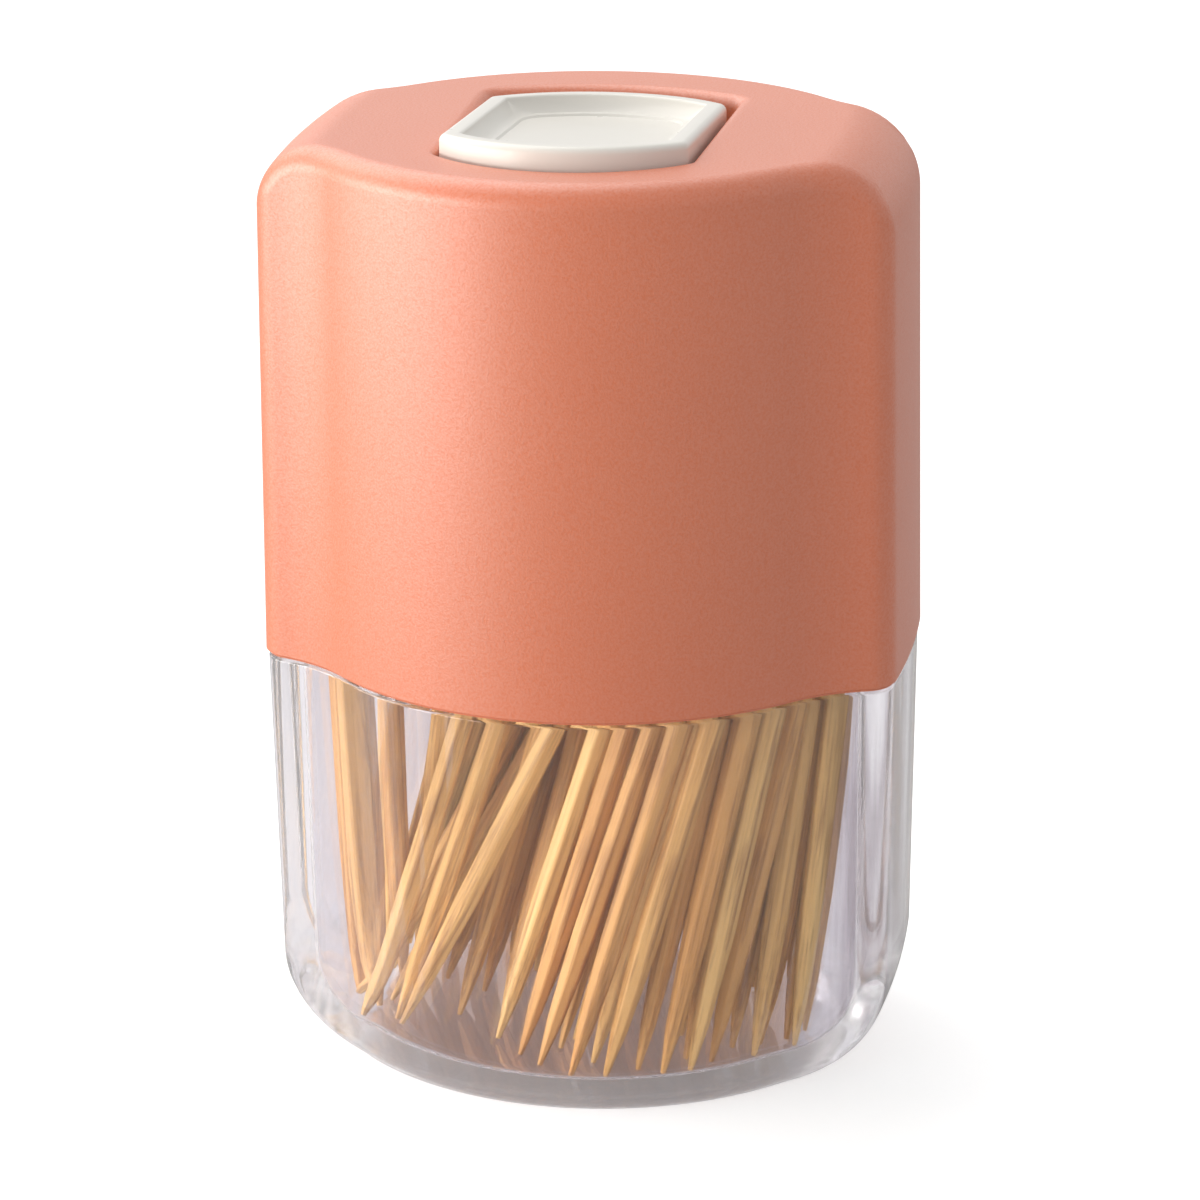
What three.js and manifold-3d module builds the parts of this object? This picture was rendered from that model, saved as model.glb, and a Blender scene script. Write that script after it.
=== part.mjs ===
// A toothpick dispenser: a clear tub of toothpicks under a coloured hood, whose white lid springs open when pressed.
// Millimetres, +Z up. The origin is the middle of the flat bottom, and -Y is the front.
import * as THREE from "three";
import { mergeVertices } from "three/addons/utils/BufferGeometryUtils.js";
import Module from "manifold-3d";

const wasm = await Module();
wasm.setup();

// Whole body
const SEAT_GAP = 0.25; // between faces that rest on each other
const CUT_OVERRUN = 1; // how far a cutter reaches past what it cuts

// Plan outline: a round bulge front and back, and an ear with a sloping front at each side
const FRONT_MARGIN = 6.9; // from the lid's front to the hood's
const EAR_CORNER_INSET = 1.5; // from the side in to the ear's sharp corner, before it is rounded
const EAR_SLOPE = THREE.MathUtils.degToRad(17);
const EAR_CORNER_RADIUS = 3.2;
const SIDE_RADIUS = 125;
const INNER_CORNER_RADIUS = 0.9;

// Hood
const HOOD_WALL = 2;
const HOOD_CORNER_RADIUS = 7;
const HOOD_EDGE_RADIUS = 2.3;
const HOOD_INNER_EDGE_RADIUS = 0.8;
const HOOD_DRAFT = 0.66; // how much narrower each side is at the top
const HOOD_RIM_CHAMFER = 0.3;

// Tub
const TUB_SETBACK = 0.25; // how far its side lies behind the hood's
const TUB_DRAFT = 0.55; // how much narrower each side is at the bottom
const TUB_CORNER_RADIUS = 9.1;
const TUB_EDGE_RADIUS = 2.5;
const TUB_FLOOR = 2.2;
const NECK_WALL = 1.45;
const NECK_CLEARANCE = 0.35; // between the neck and the hood around it
const NECK_CHAMFER = 0.4;
const CAVITY_CORNER_RADIUS = 6.4;
const CAVITY_EDGE_RADIUS = 1.4;
const CAVITY_DRAFT = 0.35;

// Lid, with its sizes as it lies pressed flush
const LID_HALF_WIDTH = 11.5;
const LID_CENTRE_Y = -2.5;
const LID_CORNER_RADIUS = 1.3;
const LID_PROUD = 0.5; // how far its rim stands above the hood's top
const LID_SKIRT = 7.2;
const LID_WALL = 1.6;
const LID_RIM = 2; // width of the raised rim
const LID_RIM_ROUND = 0.7;
const LID_RIM_INNER_ROUND = 0.3;
const LID_DISH_DEPTH = 1.6;
const LID_DISH_SLOPE = 1.2; // how far the dish's wall runs in on its way down
const LID_STEP = 0.2; // the fine line around the dish's floor
const LID_FLOOR = 1.4;
const LID_REAR_SKIRT = 3.4; // the skirt is shorter where it swings past the hinge
const LID_REAR_CUT = 1; // how far in front of the hinge it is cut
const LID_REST_TILT = THREE.MathUtils.degToRad(3.5); // its front stands proud while it is latched

// Pocket in the hood's top, and the collar below it
const LID_CLEARANCE = 0.4;
const LID_SWING_CLEARANCE = 2.4; // behind the lid, where its rear edge swings down
const POCKET_REAR_RADIUS = 25.1;
const POCKET_CORNER_RADIUS = 1.6;
const POCKET_EDGE_BEVEL = 0.5;
const COLLAR_WALL = 1.2;
const LEAST_CORNER_SHARE = 0.25; // of a barrel outline's corner radius, where it is set in

// Hinge
const HINGE_OVERHANG = 6.8; // from the hinge to the lid's rear edge
const HINGE_HEIGHT = 2.15; // above the deck
const PIN_RADIUS = 0.9;
const PIN_CLEARANCE = 0.12;
const KNUCKLE_RADIUS = 1.9;
const KNUCKLE_LENGTH = 3;
const POST_INNER_X = 3.2;
const POST_LENGTH = 2;
const POST_RADIUS = 1.75;

// Torsion spring
const SPRING_COIL_RADIUS = 1.5; // to the middle of the wire
const SPRING_WIRE_RADIUS = 0.25;
const SPRING_TURNS = 4.5;
const SPRING_PITCH = 0.95;
const SPRING_LID_LEG = 5.5;
const SPRING_DECK_LEG = 2.8;

// Latch: a leg under the lid with a heart-shaped track, and a wire whose tip runs in it
const LEG_SETBACK = 3; // from the lid's front to the leg's front face
const LEG_THICKNESS = 2;
const LEG_HALF_WIDTH = 3.2;
const LEG_DROP = 11.5; // from the hinge down to the leg's end
const TRACK_DEPTH = 0.8;
const TRACK_HALF_WIDTH = 2.5;
const TRACK_MOUTH_HALF_WIDTH = 1;
const TRACK_HEIGHT = 7.8;
const HEART_HALF_WIDTH = 1.35;
const HEART_BASE = 2.2; // from the leg's end up to the heart's point
const HEART_HEIGHT = 3.4;
const HEART_NOTCH = 0.8;
const WIRE_RADIUS = 0.3;
const WIRE_SEAT = 0.12; // between the wire's tip and the notch
const WIRE_CLEARANCE = 0.4; // between the wire's straight run and the leg's sweep
const WIRE_BEND_RADIUS = 0.9;
const WIRE_PIVOT_DROP = 2.1; // from the leg's end down to the wire's pivot
const WIRE_GRIP = 3; // length of the wire's lower end in its bearing
const BEARING_RADIUS = 1.3;
const BEARING_CLEARANCE = 0.15;
const WIRE_TIP_REACH = 0.5; // how far the tip stands in the track

// Inner frame: a deck under the pocket, with a funnel that leads the toothpicks to the outlet
const DECK_THICKNESS = 1.6;
const DECK_SCREW_MARGIN = 3.7; // from a screw's middle to the deck's side
const DECK_MARGIN = 0.6; // between the deck and the hood's wall
const OUTLET_RADIUS = 4.5;
const OUTLET_SETBACK = 14.7; // from the lid's front to the outlet's middle
const FUNNEL_WALL = 1.3;
const FUNNEL_DEPTH = 12.4;
const FUNNEL_HALF_WIDTH = 21;
const FUNNEL_LEG_MARGIN = 0.2; // from the mouth's front wall to the back of the latch's leg
const FUNNEL_MOUTH_SHIFT = 5.5; // how far the mouth's middle lies behind the outlet's
const SLOT_CLEARANCE = 0.4;
const WELL_FRONT = 1.5; // from the hinge back to the well that the lid's rear swings into
const WELL_DEPTH = 3.5;
const WELL_WALL = 1.2;

// Screws that hold the frame under the hood
const SCREW_COLLAR_GAP = 1.6; // between a boss and the collar
const SCREW_Y = 10.5;
const SCREW_RADIUS = 0.85;
const SCREW_CLEARANCE = 0.2;
const SCREW_HEAD_RADIUS = 1.7;
const SCREW_HEAD_HEIGHT = 1.2;
const SCREW_CROWN_SHARE = 0.7; // the flat of the head's crown, of its radius
const SCREW_TIP = 1;
const SCREW_GRIP = 4; // length in the boss
const SCREW_RECESS_WIDTH = 0.5;
const SCREW_RECESS_LENGTH = 1.9;
const SCREW_RECESS_DEPTH = 0.6;
const BOSS_RADIUS = 2.6;
const BOSS_HOLE_SPARE = 0.5; // hole left beyond the screw's tip

// Toothpicks
const PICK_LENGTH = 65;
const PICK_RADIUS = 1.2;
const PICK_POINT_RADIUS = 0.25;
const PICK_POINT_LENGTH = 4;
const PICK_TAPER_SHARE = 0.2; // length of the taper at each end, of the whole
const PICK_POINT_SHARE = 0.62; // thickness where the point meets the taper, of the full one
const PICK_FLOOR_GAP = 0.3;
const PICK_HEADROOM = 1.55; // from a toothpick that stands upright to the funnel
const PICK_ROW_GAP = 0.15;
const CAVITY_WIDTH_SHARE = 10.549; // half the tub's inner width, in pitches of its toothpicks
const EAR_WIDTH_SHARE = 3.084; // from the side in to the ear's root on the bulge, in pitches
const EAR_ROOT_SHARE = 5.686; // half the depth between those roots, in pitches
const EAR_DEPTH_SHARE = 4.49; // half the ear's depth at its corners, in pitches
const BULGE_SHARE = 9.843; // half the body's depth, in pitches
const EAR_BLEND_SHARE = 6.235; // radius of the hollow curve between bulge and ear, in pitches
const SHOULDER_SHARE = 0.6108; // height of the hood's lower edge, of a toothpick's length
const NECK_SHARE = 0.154; // height of the tub's neck above that edge, of a toothpick's length

// Where each toothpick's foot and top are, right of the middle and behind it, as shares of the pitch at
// which they would stand side by side: [foot right, foot behind, top right, top behind], front ones first.
const PICK_PITCH_SHARES = [
  [0.44, -7.82, 7.38, -4.61], [1.70, -7.68, 8.36, -4.38], [-0.87, -7.09, 6.67, -3.07],
  [3.73, -7.09, 8.82, -3.40], [2.75, -6.87, 7.84, -3.16], [4.67, -6.62, 9.47, -2.59],
  [1.02, -6.57, 7.84, -2.08], [-1.77, -6.31, 5.49, -2.56], [5.29, -5.72, 10.45, -2.21],
  [4.32, -5.67, 9.37, -1.58], [-0.41, -5.53, 5.38, -1.42], [-2.90, -5.06, 4.64, -1.37],
  [6.74, -4.99, 9.89, -1.01], [5.85, -4.39, 9.47, -0.08], [-6.72, -4.31, 4.29, -0.78],
  [6.80, -3.91, 10.56, -0.20], [8.06, -3.85, 10.77, -1.70], [-8.11, -3.70, -1.00, -0.32],
  [7.63, -3.28, 10.93, 0.76], [-3.17, -3.11, 3.05, 0.44], [8.25, -2.43, 10.73, 1.90],
  [-7.67, -2.28, 4.25, 1.17], [-8.63, -1.87, 3.04, 0.96], [-8.63, -1.58, -10.58, 2.02],
  [-4.36, -1.06, 2.28, 2.37], [-8.66, -0.52, -2.33, 2.80], [-6.06, -0.14, 2.71, 3.32],
  [-8.44, 0.41, -0.10, 2.94], [-8.67, 0.53, -9.21, 2.83], [5.87, 1.10, 10.76, 3.14],
  [-5.42, 1.35, -0.48, 4.06], [-8.52, 1.39, -3.23, 3.75], [4.19, 1.46, 9.47, 4.01],
  [1.41, 1.57, 7.77, 4.01], [-8.60, 1.95, -9.62, 3.66], [0.44, 2.13, 6.02, 4.40],
  [-8.41, 2.65, -4.54, 4.77], [-7.16, 3.37, -3.25, 4.54], [2.71, 3.77, 6.48, 4.88],
  [4.75, 3.79, 7.96, 5.13], [-2.56, 4.13, 0.94, 5.29], [0.50, 5.17, 6.40, 6.36],
  [-5.77, 5.36, -4.53, 5.69], [-1.33, 5.54, 2.55, 6.06], [-3.88, 5.73, -1.72, 6.48],
  [-4.95, 5.96, -3.03, 6.87], [-3.53, 6.08, 1.95, 6.91], [0.20, 6.57, 3.10, 6.93],
  [-3.28, 7.26, -0.42, 7.18],
];

// What follows from these: the toothpicks set the body's height, width and depth.
const SHOULDER_HEIGHT = SHOULDER_SHARE * PICK_LENGTH; // where the hood's lower edge meets the tub
const NECK_TOP = SHOULDER_HEIGHT + NECK_SHARE * PICK_LENGTH;
const NECK_INSET = HOOD_WALL + NECK_CLEARANCE;
const CAVITY_INSET = NECK_INSET + NECK_WALL;
const PICK_PITCH = 2 * PICK_RADIUS + PICK_ROW_GAP;
const HALF_WIDTH = CAVITY_INSET + CAVITY_WIDTH_SHARE * PICK_PITCH;
const EAR_WIDTH = EAR_WIDTH_SHARE * PICK_PITCH;
const EAR_ROOT_HALF_DEPTH = EAR_ROOT_SHARE * PICK_PITCH;
const EAR_HALF_DEPTH = EAR_DEPTH_SHARE * PICK_PITCH;
const EAR_BLEND_RADIUS = EAR_BLEND_SHARE * PICK_PITCH;
const BULGE_REACH = BULGE_SHARE * PICK_PITCH;
const LID_REACH = BULGE_REACH - FRONT_MARGIN;
const LID_END_RADIUS = LID_REACH + LID_CENTRE_Y; // its bowed front and back
const EAR_ROOT_RISE = BULGE_REACH - EAR_ROOT_HALF_DEPTH;
const BULGE_RADIUS =
  (EAR_ROOT_RISE ** 2 + (HALF_WIDTH - EAR_WIDTH) ** 2) / (2 * EAR_ROOT_RISE);
const LID_REAR_Y = LID_CENTRE_Y + LID_END_RADIUS;
const HINGE_Y = LID_REAR_Y - HINGE_OVERHANG;
const POCKET_REAR_Y = LID_REAR_Y + LID_SWING_CLEARANCE;
const OUTLET_Y = OUTLET_SETBACK - LID_REACH;
const FUNNEL_MOUTH_Y = OUTLET_Y + FUNNEL_MOUTH_SHIFT;
const LEG_FACE_DISTANCE = HINGE_Y + LID_REACH - LEG_SETBACK; // from the hinge
const FUNNEL_HALF_DEPTH =
  FUNNEL_MOUTH_Y + LID_REACH - LEG_SETBACK - LEG_THICKNESS - FUNNEL_LEG_MARGIN;
const SCREW_X =
  LID_HALF_WIDTH + LID_CLEARANCE + COLLAR_WALL + SCREW_COLLAR_GAP + BOSS_RADIUS;
const DECK_HALF_WIDTH = SCREW_X + DECK_SCREW_MARGIN;
const PICK_FOOT_Z = TUB_FLOOR + PICK_FLOOR_GAP;
const FUNNEL_END = PICK_FOOT_Z + PICK_LENGTH + PICK_HEADROOM;
const DECK_BOTTOM = FUNNEL_END + FUNNEL_DEPTH;
const DECK_TOP = DECK_BOTTOM + DECK_THICKNESS;
const DECK_MIDDLE = (DECK_TOP + DECK_BOTTOM) / 2;
const HINGE_Z = DECK_TOP + HINGE_HEIGHT;
const LID_SKIRT_END = DECK_TOP + SEAT_GAP;
const COLLAR_END = DECK_TOP + SEAT_GAP;
const LID_TOP = LID_SKIRT_END + LID_SKIRT;
const LID_UNDERSIDE = LID_TOP - LID_DISH_DEPTH - LID_STEP - LID_FLOOR;
const HEIGHT = LID_TOP - LID_PROUD;
const HOOD_CEILING = HEIGHT - HOOD_WALL;
const HOOD_TOP_MIDDLE = (HEIGHT + HOOD_CEILING) / 2;
const LEG_REACH = Math.hypot(LEG_FACE_DISTANCE, LEG_DROP);
const WIRE_RUN_Y = HINGE_Y - LEG_REACH - WIRE_CLEARANCE - WIRE_RADIUS;
const WIRE_PIVOT_Z = HINGE_Z - LEG_DROP - WIRE_PIVOT_DROP;
const BEARING_FRONT_Y = WIRE_RUN_Y + WIRE_BEND_RADIUS + SEAT_GAP;
const KNUCKLE_X = POST_INNER_X + POST_LENGTH + SEAT_GAP;
const KNUCKLE_END_X = KNUCKLE_X + KNUCKLE_LENGTH;

// Materials
const HOOD_COLOUR = 0xdf9072;
const LID_COLOUR = 0xf2efe9;
const CLEAR_COLOUR = 0xeef0f6;
const FRAME_COLOUR = 0xf4f1ea;
const STEEL_COLOUR = 0xb8bbc0;
const PICK_COLOUR = 0xe2b986;

const hoodPlastic = () =>
  new THREE.MeshStandardMaterial({ color: HOOD_COLOUR, roughness: 0.42 });
const lidPlastic = () =>
  new THREE.MeshStandardMaterial({ color: LID_COLOUR, roughness: 0.3 });
const framePlastic = () =>
  new THREE.MeshStandardMaterial({ color: FRAME_COLOUR, roughness: 0.45 });
const clearPlastic = () =>
  new THREE.MeshStandardMaterial({
    color: CLEAR_COLOUR,
    roughness: 0.05,
    transparent: true,
    opacity: 0.35,
  });
const steel = () =>
  new THREE.MeshStandardMaterial({
    color: STEEL_COLOUR,
    roughness: 0.25,
    metalness: 1,
  });
const bamboo = () =>
  new THREE.MeshStandardMaterial({ color: PICK_COLOUR, roughness: 0.7 });

const { clamp, lerp } = THREE.MathUtils;

function named(name, geometry, material) {
  const mesh = new THREE.Mesh(geometry, material);
  mesh.name = name;
  return mesh;
}

// A closed three.js geometry as a solid that can be joined and cut.
function solid(geometry) {
  geometry.deleteAttribute("normal");
  geometry.deleteAttribute("uv");
  const merged = mergeVertices(geometry);
  return new wasm.Manifold(
    new wasm.Mesh({
      numProp: 3,
      vertProperties: merged.attributes.position.array,
      triVerts: new Uint32Array(merged.index.array),
    }),
  );
}

function geometryOf(manifold) {
  const mesh = manifold.getMesh();
  const geometry = new THREE.BufferGeometry();
  geometry.setAttribute(
    "position",
    new THREE.BufferAttribute(mesh.vertProperties, 3),
  );
  geometry.setIndex(new THREE.BufferAttribute(mesh.triVerts, 1));
  return geometry;
}

// Joins rings of points into one closed surface. The rings all have as many points, anticlockwise seen
// from above, and their order runs up the outside and down the inside. Both ends are capped.
function loft(rings) {
  const count = rings[0].length;
  const points = rings.flat();
  const index = [];
  for (let r = 0; r + 1 < rings.length; r++)
    for (let i = 0; i < count; i++) {
      const a = r * count + i;
      const b = r * count + ((i + 1) % count);
      const above = a + count;
      const beside = b + count;
      // The shorter diagonal keeps a bent strip smooth.
      const bent =
        points[a].distanceTo(points[beside]) > points[b].distanceTo(points[above]);
      if (bent) index.push(a, b, above, b, beside, above);
      else index.push(a, b, beside, a, beside, above);
    }
  const cap = (ring, first, turned) => {
    const middle = new THREE.Vector3();
    for (const p of ring) middle.addScaledVector(p, 1 / count);
    const centre = points.push(middle) - 1;
    for (let i = 0; i < count; i++) {
      const a = first + i;
      const b = first + ((i + 1) % count);
      index.push(...(turned ? [centre, b, a] : [centre, a, b]));
    }
  };
  cap(rings[0], 0, true);
  cap(rings[rings.length - 1], (rings.length - 1) * count, false);
  return new THREE.BufferGeometry().setFromPoints(points).setIndex(index);
}

// Points on an arc with the way that each one faces; sense is -1 where the outline is hollow.
function arc(x, y, radius, from, to, steps, sense = 1) {
  return Array.from({ length: steps + 1 }, (_, i) => {
    const angle = lerp(from, to, i / steps);
    const facing = new THREE.Vector2(Math.cos(angle), Math.sin(angle));
    return {
      at: new THREE.Vector2(x + radius * facing.x, y + radius * facing.y),
      facing: facing.multiplyScalar(sense),
    };
  });
}

// A quarter outline from the front's middle to the right side's middle, mirrored to go all the way round.
function wholeOutline(quarter) {
  const flip = (points, x, y) =>
    points
      .map(({ at, facing }) => ({
        at: new THREE.Vector2(at.x * x, at.y * y),
        facing: new THREE.Vector2(facing.x * x, facing.y * y),
      }))
      .reverse();
  const right = [...quarter, ...flip(quarter, 1, -1).slice(1)];
  return [...right, ...flip(right, -1, 1).slice(1, -1)];
}

// Where two circles meet, on the right of the line from the first centre to the second.
function circlesMeet(first, firstRadius, second, secondRadius) {
  const along = second.clone().sub(first);
  const gap = along.length();
  along.normalize();
  const reach = (firstRadius ** 2 - secondRadius ** 2 + gap ** 2) / (2 * gap);
  const aside = Math.sqrt(firstRadius ** 2 - reach ** 2);
  return first
    .clone()
    .addScaledVector(along, reach)
    .add(new THREE.Vector2(along.y, -along.x).multiplyScalar(aside));
}

// The body's plan outline, set in from the hood's outside by inset.
function planOutline(inset) {
  const bulgeY = BULGE_RADIUS - BULGE_REACH;
  const sideCentre = new THREE.Vector2(HALF_WIDTH - SIDE_RADIUS, 0);
  // The hollow curve touches both the bulge and the ear's sloping front.
  const earFacing = new THREE.Vector2(Math.sin(EAR_SLOPE), -Math.cos(EAR_SLOPE));
  const earInward = new THREE.Vector2(
    -Math.cos(EAR_SLOPE),
    -Math.sin(EAR_SLOPE),
  );
  const start = new THREE.Vector2(
    HALF_WIDTH - EAR_CORNER_INSET,
    -EAR_HALF_DEPTH,
  ).addScaledVector(earFacing, EAR_BLEND_RADIUS);
  const away = start.clone().sub(new THREE.Vector2(0, bulgeY));
  const along = away.dot(earInward);
  const reach = EAR_BLEND_RADIUS + BULGE_RADIUS;
  const root = Math.sqrt(along * along - away.lengthSq() + reach * reach);
  const blendCentre = start.addScaledVector(earInward, -along - root);

  const bulge = BULGE_RADIUS - inset;
  const blend = EAR_BLEND_RADIUS + inset;
  const side = SIDE_RADIUS - inset;
  const corner = Math.max(EAR_CORNER_RADIUS - inset, INNER_CORNER_RADIUS);
  const cornerCentre = circlesMeet(
    blendCentre,
    blend + corner,
    sideCentre,
    side - corner,
  );
  const bulgeEnd = Math.atan2(blendCentre.y - bulgeY, blendCentre.x);
  const toCorner = cornerCentre.clone().sub(blendCentre);
  const blendEnd = Math.atan2(toCorner.y, toCorner.x);
  const sideEnd = Math.atan2(cornerCentre.y, cornerCentre.x - sideCentre.x);
  const { x: blendX, y: blendY } = blendCentre;
  const { x: cornerX, y: cornerY } = cornerCentre;
  return wholeOutline([
    ...arc(0, bulgeY, bulge, -Math.PI / 2, bulgeEnd, 7),
    ...arc(blendX, blendY, blend, bulgeEnd + Math.PI, blendEnd, 5, -1).slice(1),
    ...arc(cornerX, cornerY, corner, blendEnd - Math.PI, sideEnd, 3).slice(1),
    ...arc(sideCentre.x, 0, side, sideEnd, 0, 2).slice(1),
  ]);
}

// The outline of the lid or its pocket: straight sides, bowed ends and small round corners.
function barrelOutline({ halfWidth, front, rear, corner }, inset, centreY = 0) {
  const x = halfWidth - inset;
  const round = Math.max(corner - inset, corner * LEAST_CORNER_SHARE);
  const quarter = ({ y, radius }) => {
    const middle = y + radius;
    const bow = radius - inset;
    const cornerX = x - round;
    const cornerY = middle - Math.sqrt((bow - round) ** 2 - cornerX ** 2);
    const meet = Math.atan2(cornerY - middle, cornerX);
    return [
      ...arc(0, middle, bow, -Math.PI / 2, meet, 6),
      ...arc(cornerX, cornerY, round, meet, 0, 3).slice(1),
    ];
  };
  const turned = (points, sx, sy) =>
    points.map(({ at }) => new THREE.Vector2(at.x * sx, at.y * sy));
  const nearRight = turned(quarter(front), 1, 1);
  const farRight = turned(quarter(rear), 1, -1).reverse();
  const farLeft = turned(quarter(rear), -1, -1);
  const nearLeft = turned(quarter(front), -1, 1).reverse();
  return [...nearRight, ...farRight, ...farLeft.slice(1), ...nearLeft.slice(0, -1)].map(
    (p) => new THREE.Vector2(p.x, p.y - centreY),
  );
}

const ringAt = (outline, z) =>
  outline.map((p) => new THREE.Vector3(p.x, p.y, z));

// Narrows a ring with its distance from the shoulder, as a moulded wall is.
function drafted(ring, draft, height) {
  return ring.map((p) => {
    const share = Math.abs(p.z - SHOULDER_HEIGHT) / height;
    const scale = 1 - (draft / HALF_WIDTH) * share;
    return new THREE.Vector3(p.x * scale, p.y * scale, p.z);
  });
}

// Rings over the closed end of the body, from its wall to its middle. The end turns over the side walls
// with one radius, and a ball of the edge radius has rounded every edge. sense is 1 at the top and -1 at
// the bottom.
function endRings({ inset, corner, edge, end, sense, fan = 3, across = 4 }) {
  const sideX = HALF_WIDTH - SIDE_RADIUS;
  // How far a point has come past the end's flat middle, and the way that the side wall faces there.
  const past = (p, most) => {
    const away = new THREE.Vector2(Math.abs(p.x) - sideX, p.y);
    const over = away.length() - (SIDE_RADIUS - inset - corner);
    return {
      over: clamp(over, 0, most),
      facing: away.normalize().setX(away.x * Math.sign(p.x)),
    };
  };
  const drop = (over, radius) =>
    radius - Math.sqrt(Math.max(radius * radius - over * over, 0));
  const edgePoints = planOutline(inset + edge).map(({ at, facing }) => {
    const radius = corner - edge;
    const { over, facing: side } = past(at, radius);
    const lean = over / radius;
    return {
      at: new THREE.Vector3(at.x, at.y, edge + drop(over, radius)),
      sideways: new THREE.Vector3(facing.x, facing.y, 0),
      endways: new THREE.Vector3(
        side.x * lean,
        side.y * lean,
        -Math.sqrt(1 - lean * lean),
      ),
    };
  });
  const rounded = (share) =>
    edgePoints.map(({ at, sideways, endways }) => {
      const turn = new THREE.Quaternion().setFromUnitVectors(sideways, endways);
      const part = new THREE.Quaternion().slerp(turn, share);
      return at
        .clone()
        .addScaledVector(sideways.clone().applyQuaternion(part), edge);
    });
  const rings = [];
  for (let i = 0; i <= fan; i++) rings.push(rounded(i / fan));
  // From its edge the end runs in and up over the side wall's turn, every point towards the middle.
  const outer = rings[fan].map((p) => {
    const { over } = past(p, corner);
    return { p, over, turn: Math.asin(over / corner) };
  });
  for (let i = 1; i <= across; i++) {
    const left = 1 - i / across;
    rings.push(
      outer.map(({ p, over, turn }) => {
        const run =
          over > 0
            ? (over - corner * Math.sin(turn * left)) * Math.max(edge / over, 1)
            : edge * (1 - left);
        const scale = 1 - run / Math.hypot(p.x, p.y);
        const inner = new THREE.Vector2(p.x * scale, p.y * scale);
        const z = drop(past(inner, corner).over, corner);
        return new THREE.Vector3(inner.x, inner.y, z);
      }),
    );
  }
  return rings.map((ring) =>
    ring.map((p) => new THREE.Vector3(p.x, p.y, end - sense * p.z)),
  );
}

const planRing = (inset, z) =>
  planOutline(inset).map(({ at }) => new THREE.Vector3(at.x, at.y, z));

function boxBetween([x0, x1], [y0, y1], [z0, z1]) {
  return new THREE.BoxGeometry(x1 - x0, y1 - y0, z1 - z0).translate(
    (x0 + x1) / 2,
    (y0 + y1) / 2,
    (z0 + z1) / 2,
  );
}

// A round bar from one point to another.
function rod(radius, from, to, sides = 16) {
  const along = to.clone().sub(from);
  const turn = new THREE.Quaternion().setFromUnitVectors(
    new THREE.Vector3(0, 1, 0),
    along.clone().normalize(),
  );
  const middle = from.clone().lerp(to, 0.5);
  return new THREE.CylinderGeometry(radius, radius, along.length(), sides)
    .applyQuaternion(turn)
    .translate(middle.x, middle.y, middle.z);
}

const at = (x, y, z) => new THREE.Vector3(x, y, z);

// A straight-legged wire through the given points, with round bends.
function wireGeometry(points, radius, bend, steps) {
  const path = new THREE.CurvePath();
  let start = points[0];
  for (let i = 1; i + 1 < points.length; i++) {
    const before = points[i - 1].clone().sub(points[i]).setLength(bend);
    const after = points[i + 1].clone().sub(points[i]).setLength(bend);
    const bendStart = points[i].clone().add(before);
    const bendEnd = points[i].clone().add(after);
    path.add(new THREE.LineCurve3(start, bendStart));
    path.add(new THREE.QuadraticBezierCurve3(bendStart, points[i], bendEnd));
    start = bendEnd;
  }
  path.add(new THREE.LineCurve3(start, points.at(-1)));
  return sweep(path, radius, steps);
}

function sweep(path, radius, steps, sides = 6) {
  const section = new THREE.Shape(
    new THREE.EllipseCurve(0, 0, radius, radius).getPoints(sides).slice(0, -1),
  );
  return new THREE.ExtrudeGeometry(section, {
    steps,
    bevelEnabled: false,
    extrudePath: path,
  });
}

// Plans and places that several pieces share
const lidPlan = {
  halfWidth: LID_HALF_WIDTH,
  front: { y: LID_CENTRE_Y - LID_END_RADIUS, radius: LID_END_RADIUS },
  rear: { y: -LID_CENTRE_Y - LID_END_RADIUS, radius: LID_END_RADIUS },
  corner: LID_CORNER_RADIUS,
};
const pocketPlan = {
  halfWidth: LID_HALF_WIDTH + LID_CLEARANCE,
  front: {
    y: lidPlan.front.y - LID_CLEARANCE,
    radius: LID_END_RADIUS + LID_CLEARANCE,
  },
  rear: { y: -POCKET_REAR_Y, radius: POCKET_REAR_RADIUS },
  corner: POCKET_CORNER_RADIUS,
};
const screwPlaces = [
  [-SCREW_X, -SCREW_Y],
  [SCREW_X, -SCREW_Y],
  [SCREW_X, SCREW_Y],
  [-SCREW_X, SCREW_Y],
];

// Tub: clear moulding with thick walls, and a neck that the hood slides over.
function tubGeometry() {
  const narrowed = (ring) => drafted(ring, TUB_DRAFT, SHOULDER_HEIGHT);
  const outside = endRings({
    inset: TUB_SETBACK,
    corner: TUB_CORNER_RADIUS,
    edge: TUB_EDGE_RADIUS,
    end: 0,
    sense: -1,
  })
    .reverse()
    .map(narrowed);
  const inside = endRings({
    inset: CAVITY_INSET,
    corner: CAVITY_CORNER_RADIUS,
    edge: CAVITY_EDGE_RADIUS,
    end: TUB_FLOOR,
    sense: -1,
  }).map((ring) => drafted(ring, CAVITY_DRAFT, SHOULDER_HEIGHT));
  return loft([
    ...outside,
    planRing(TUB_SETBACK, SHOULDER_HEIGHT - SEAT_GAP),
    planRing(NECK_INSET, SHOULDER_HEIGHT - SEAT_GAP),
    planRing(NECK_INSET, NECK_TOP - NECK_CHAMFER),
    planRing(NECK_INSET + NECK_CHAMFER, NECK_TOP),
    planRing(CAVITY_INSET, NECK_TOP),
    ...inside,
  ]);
}

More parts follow.
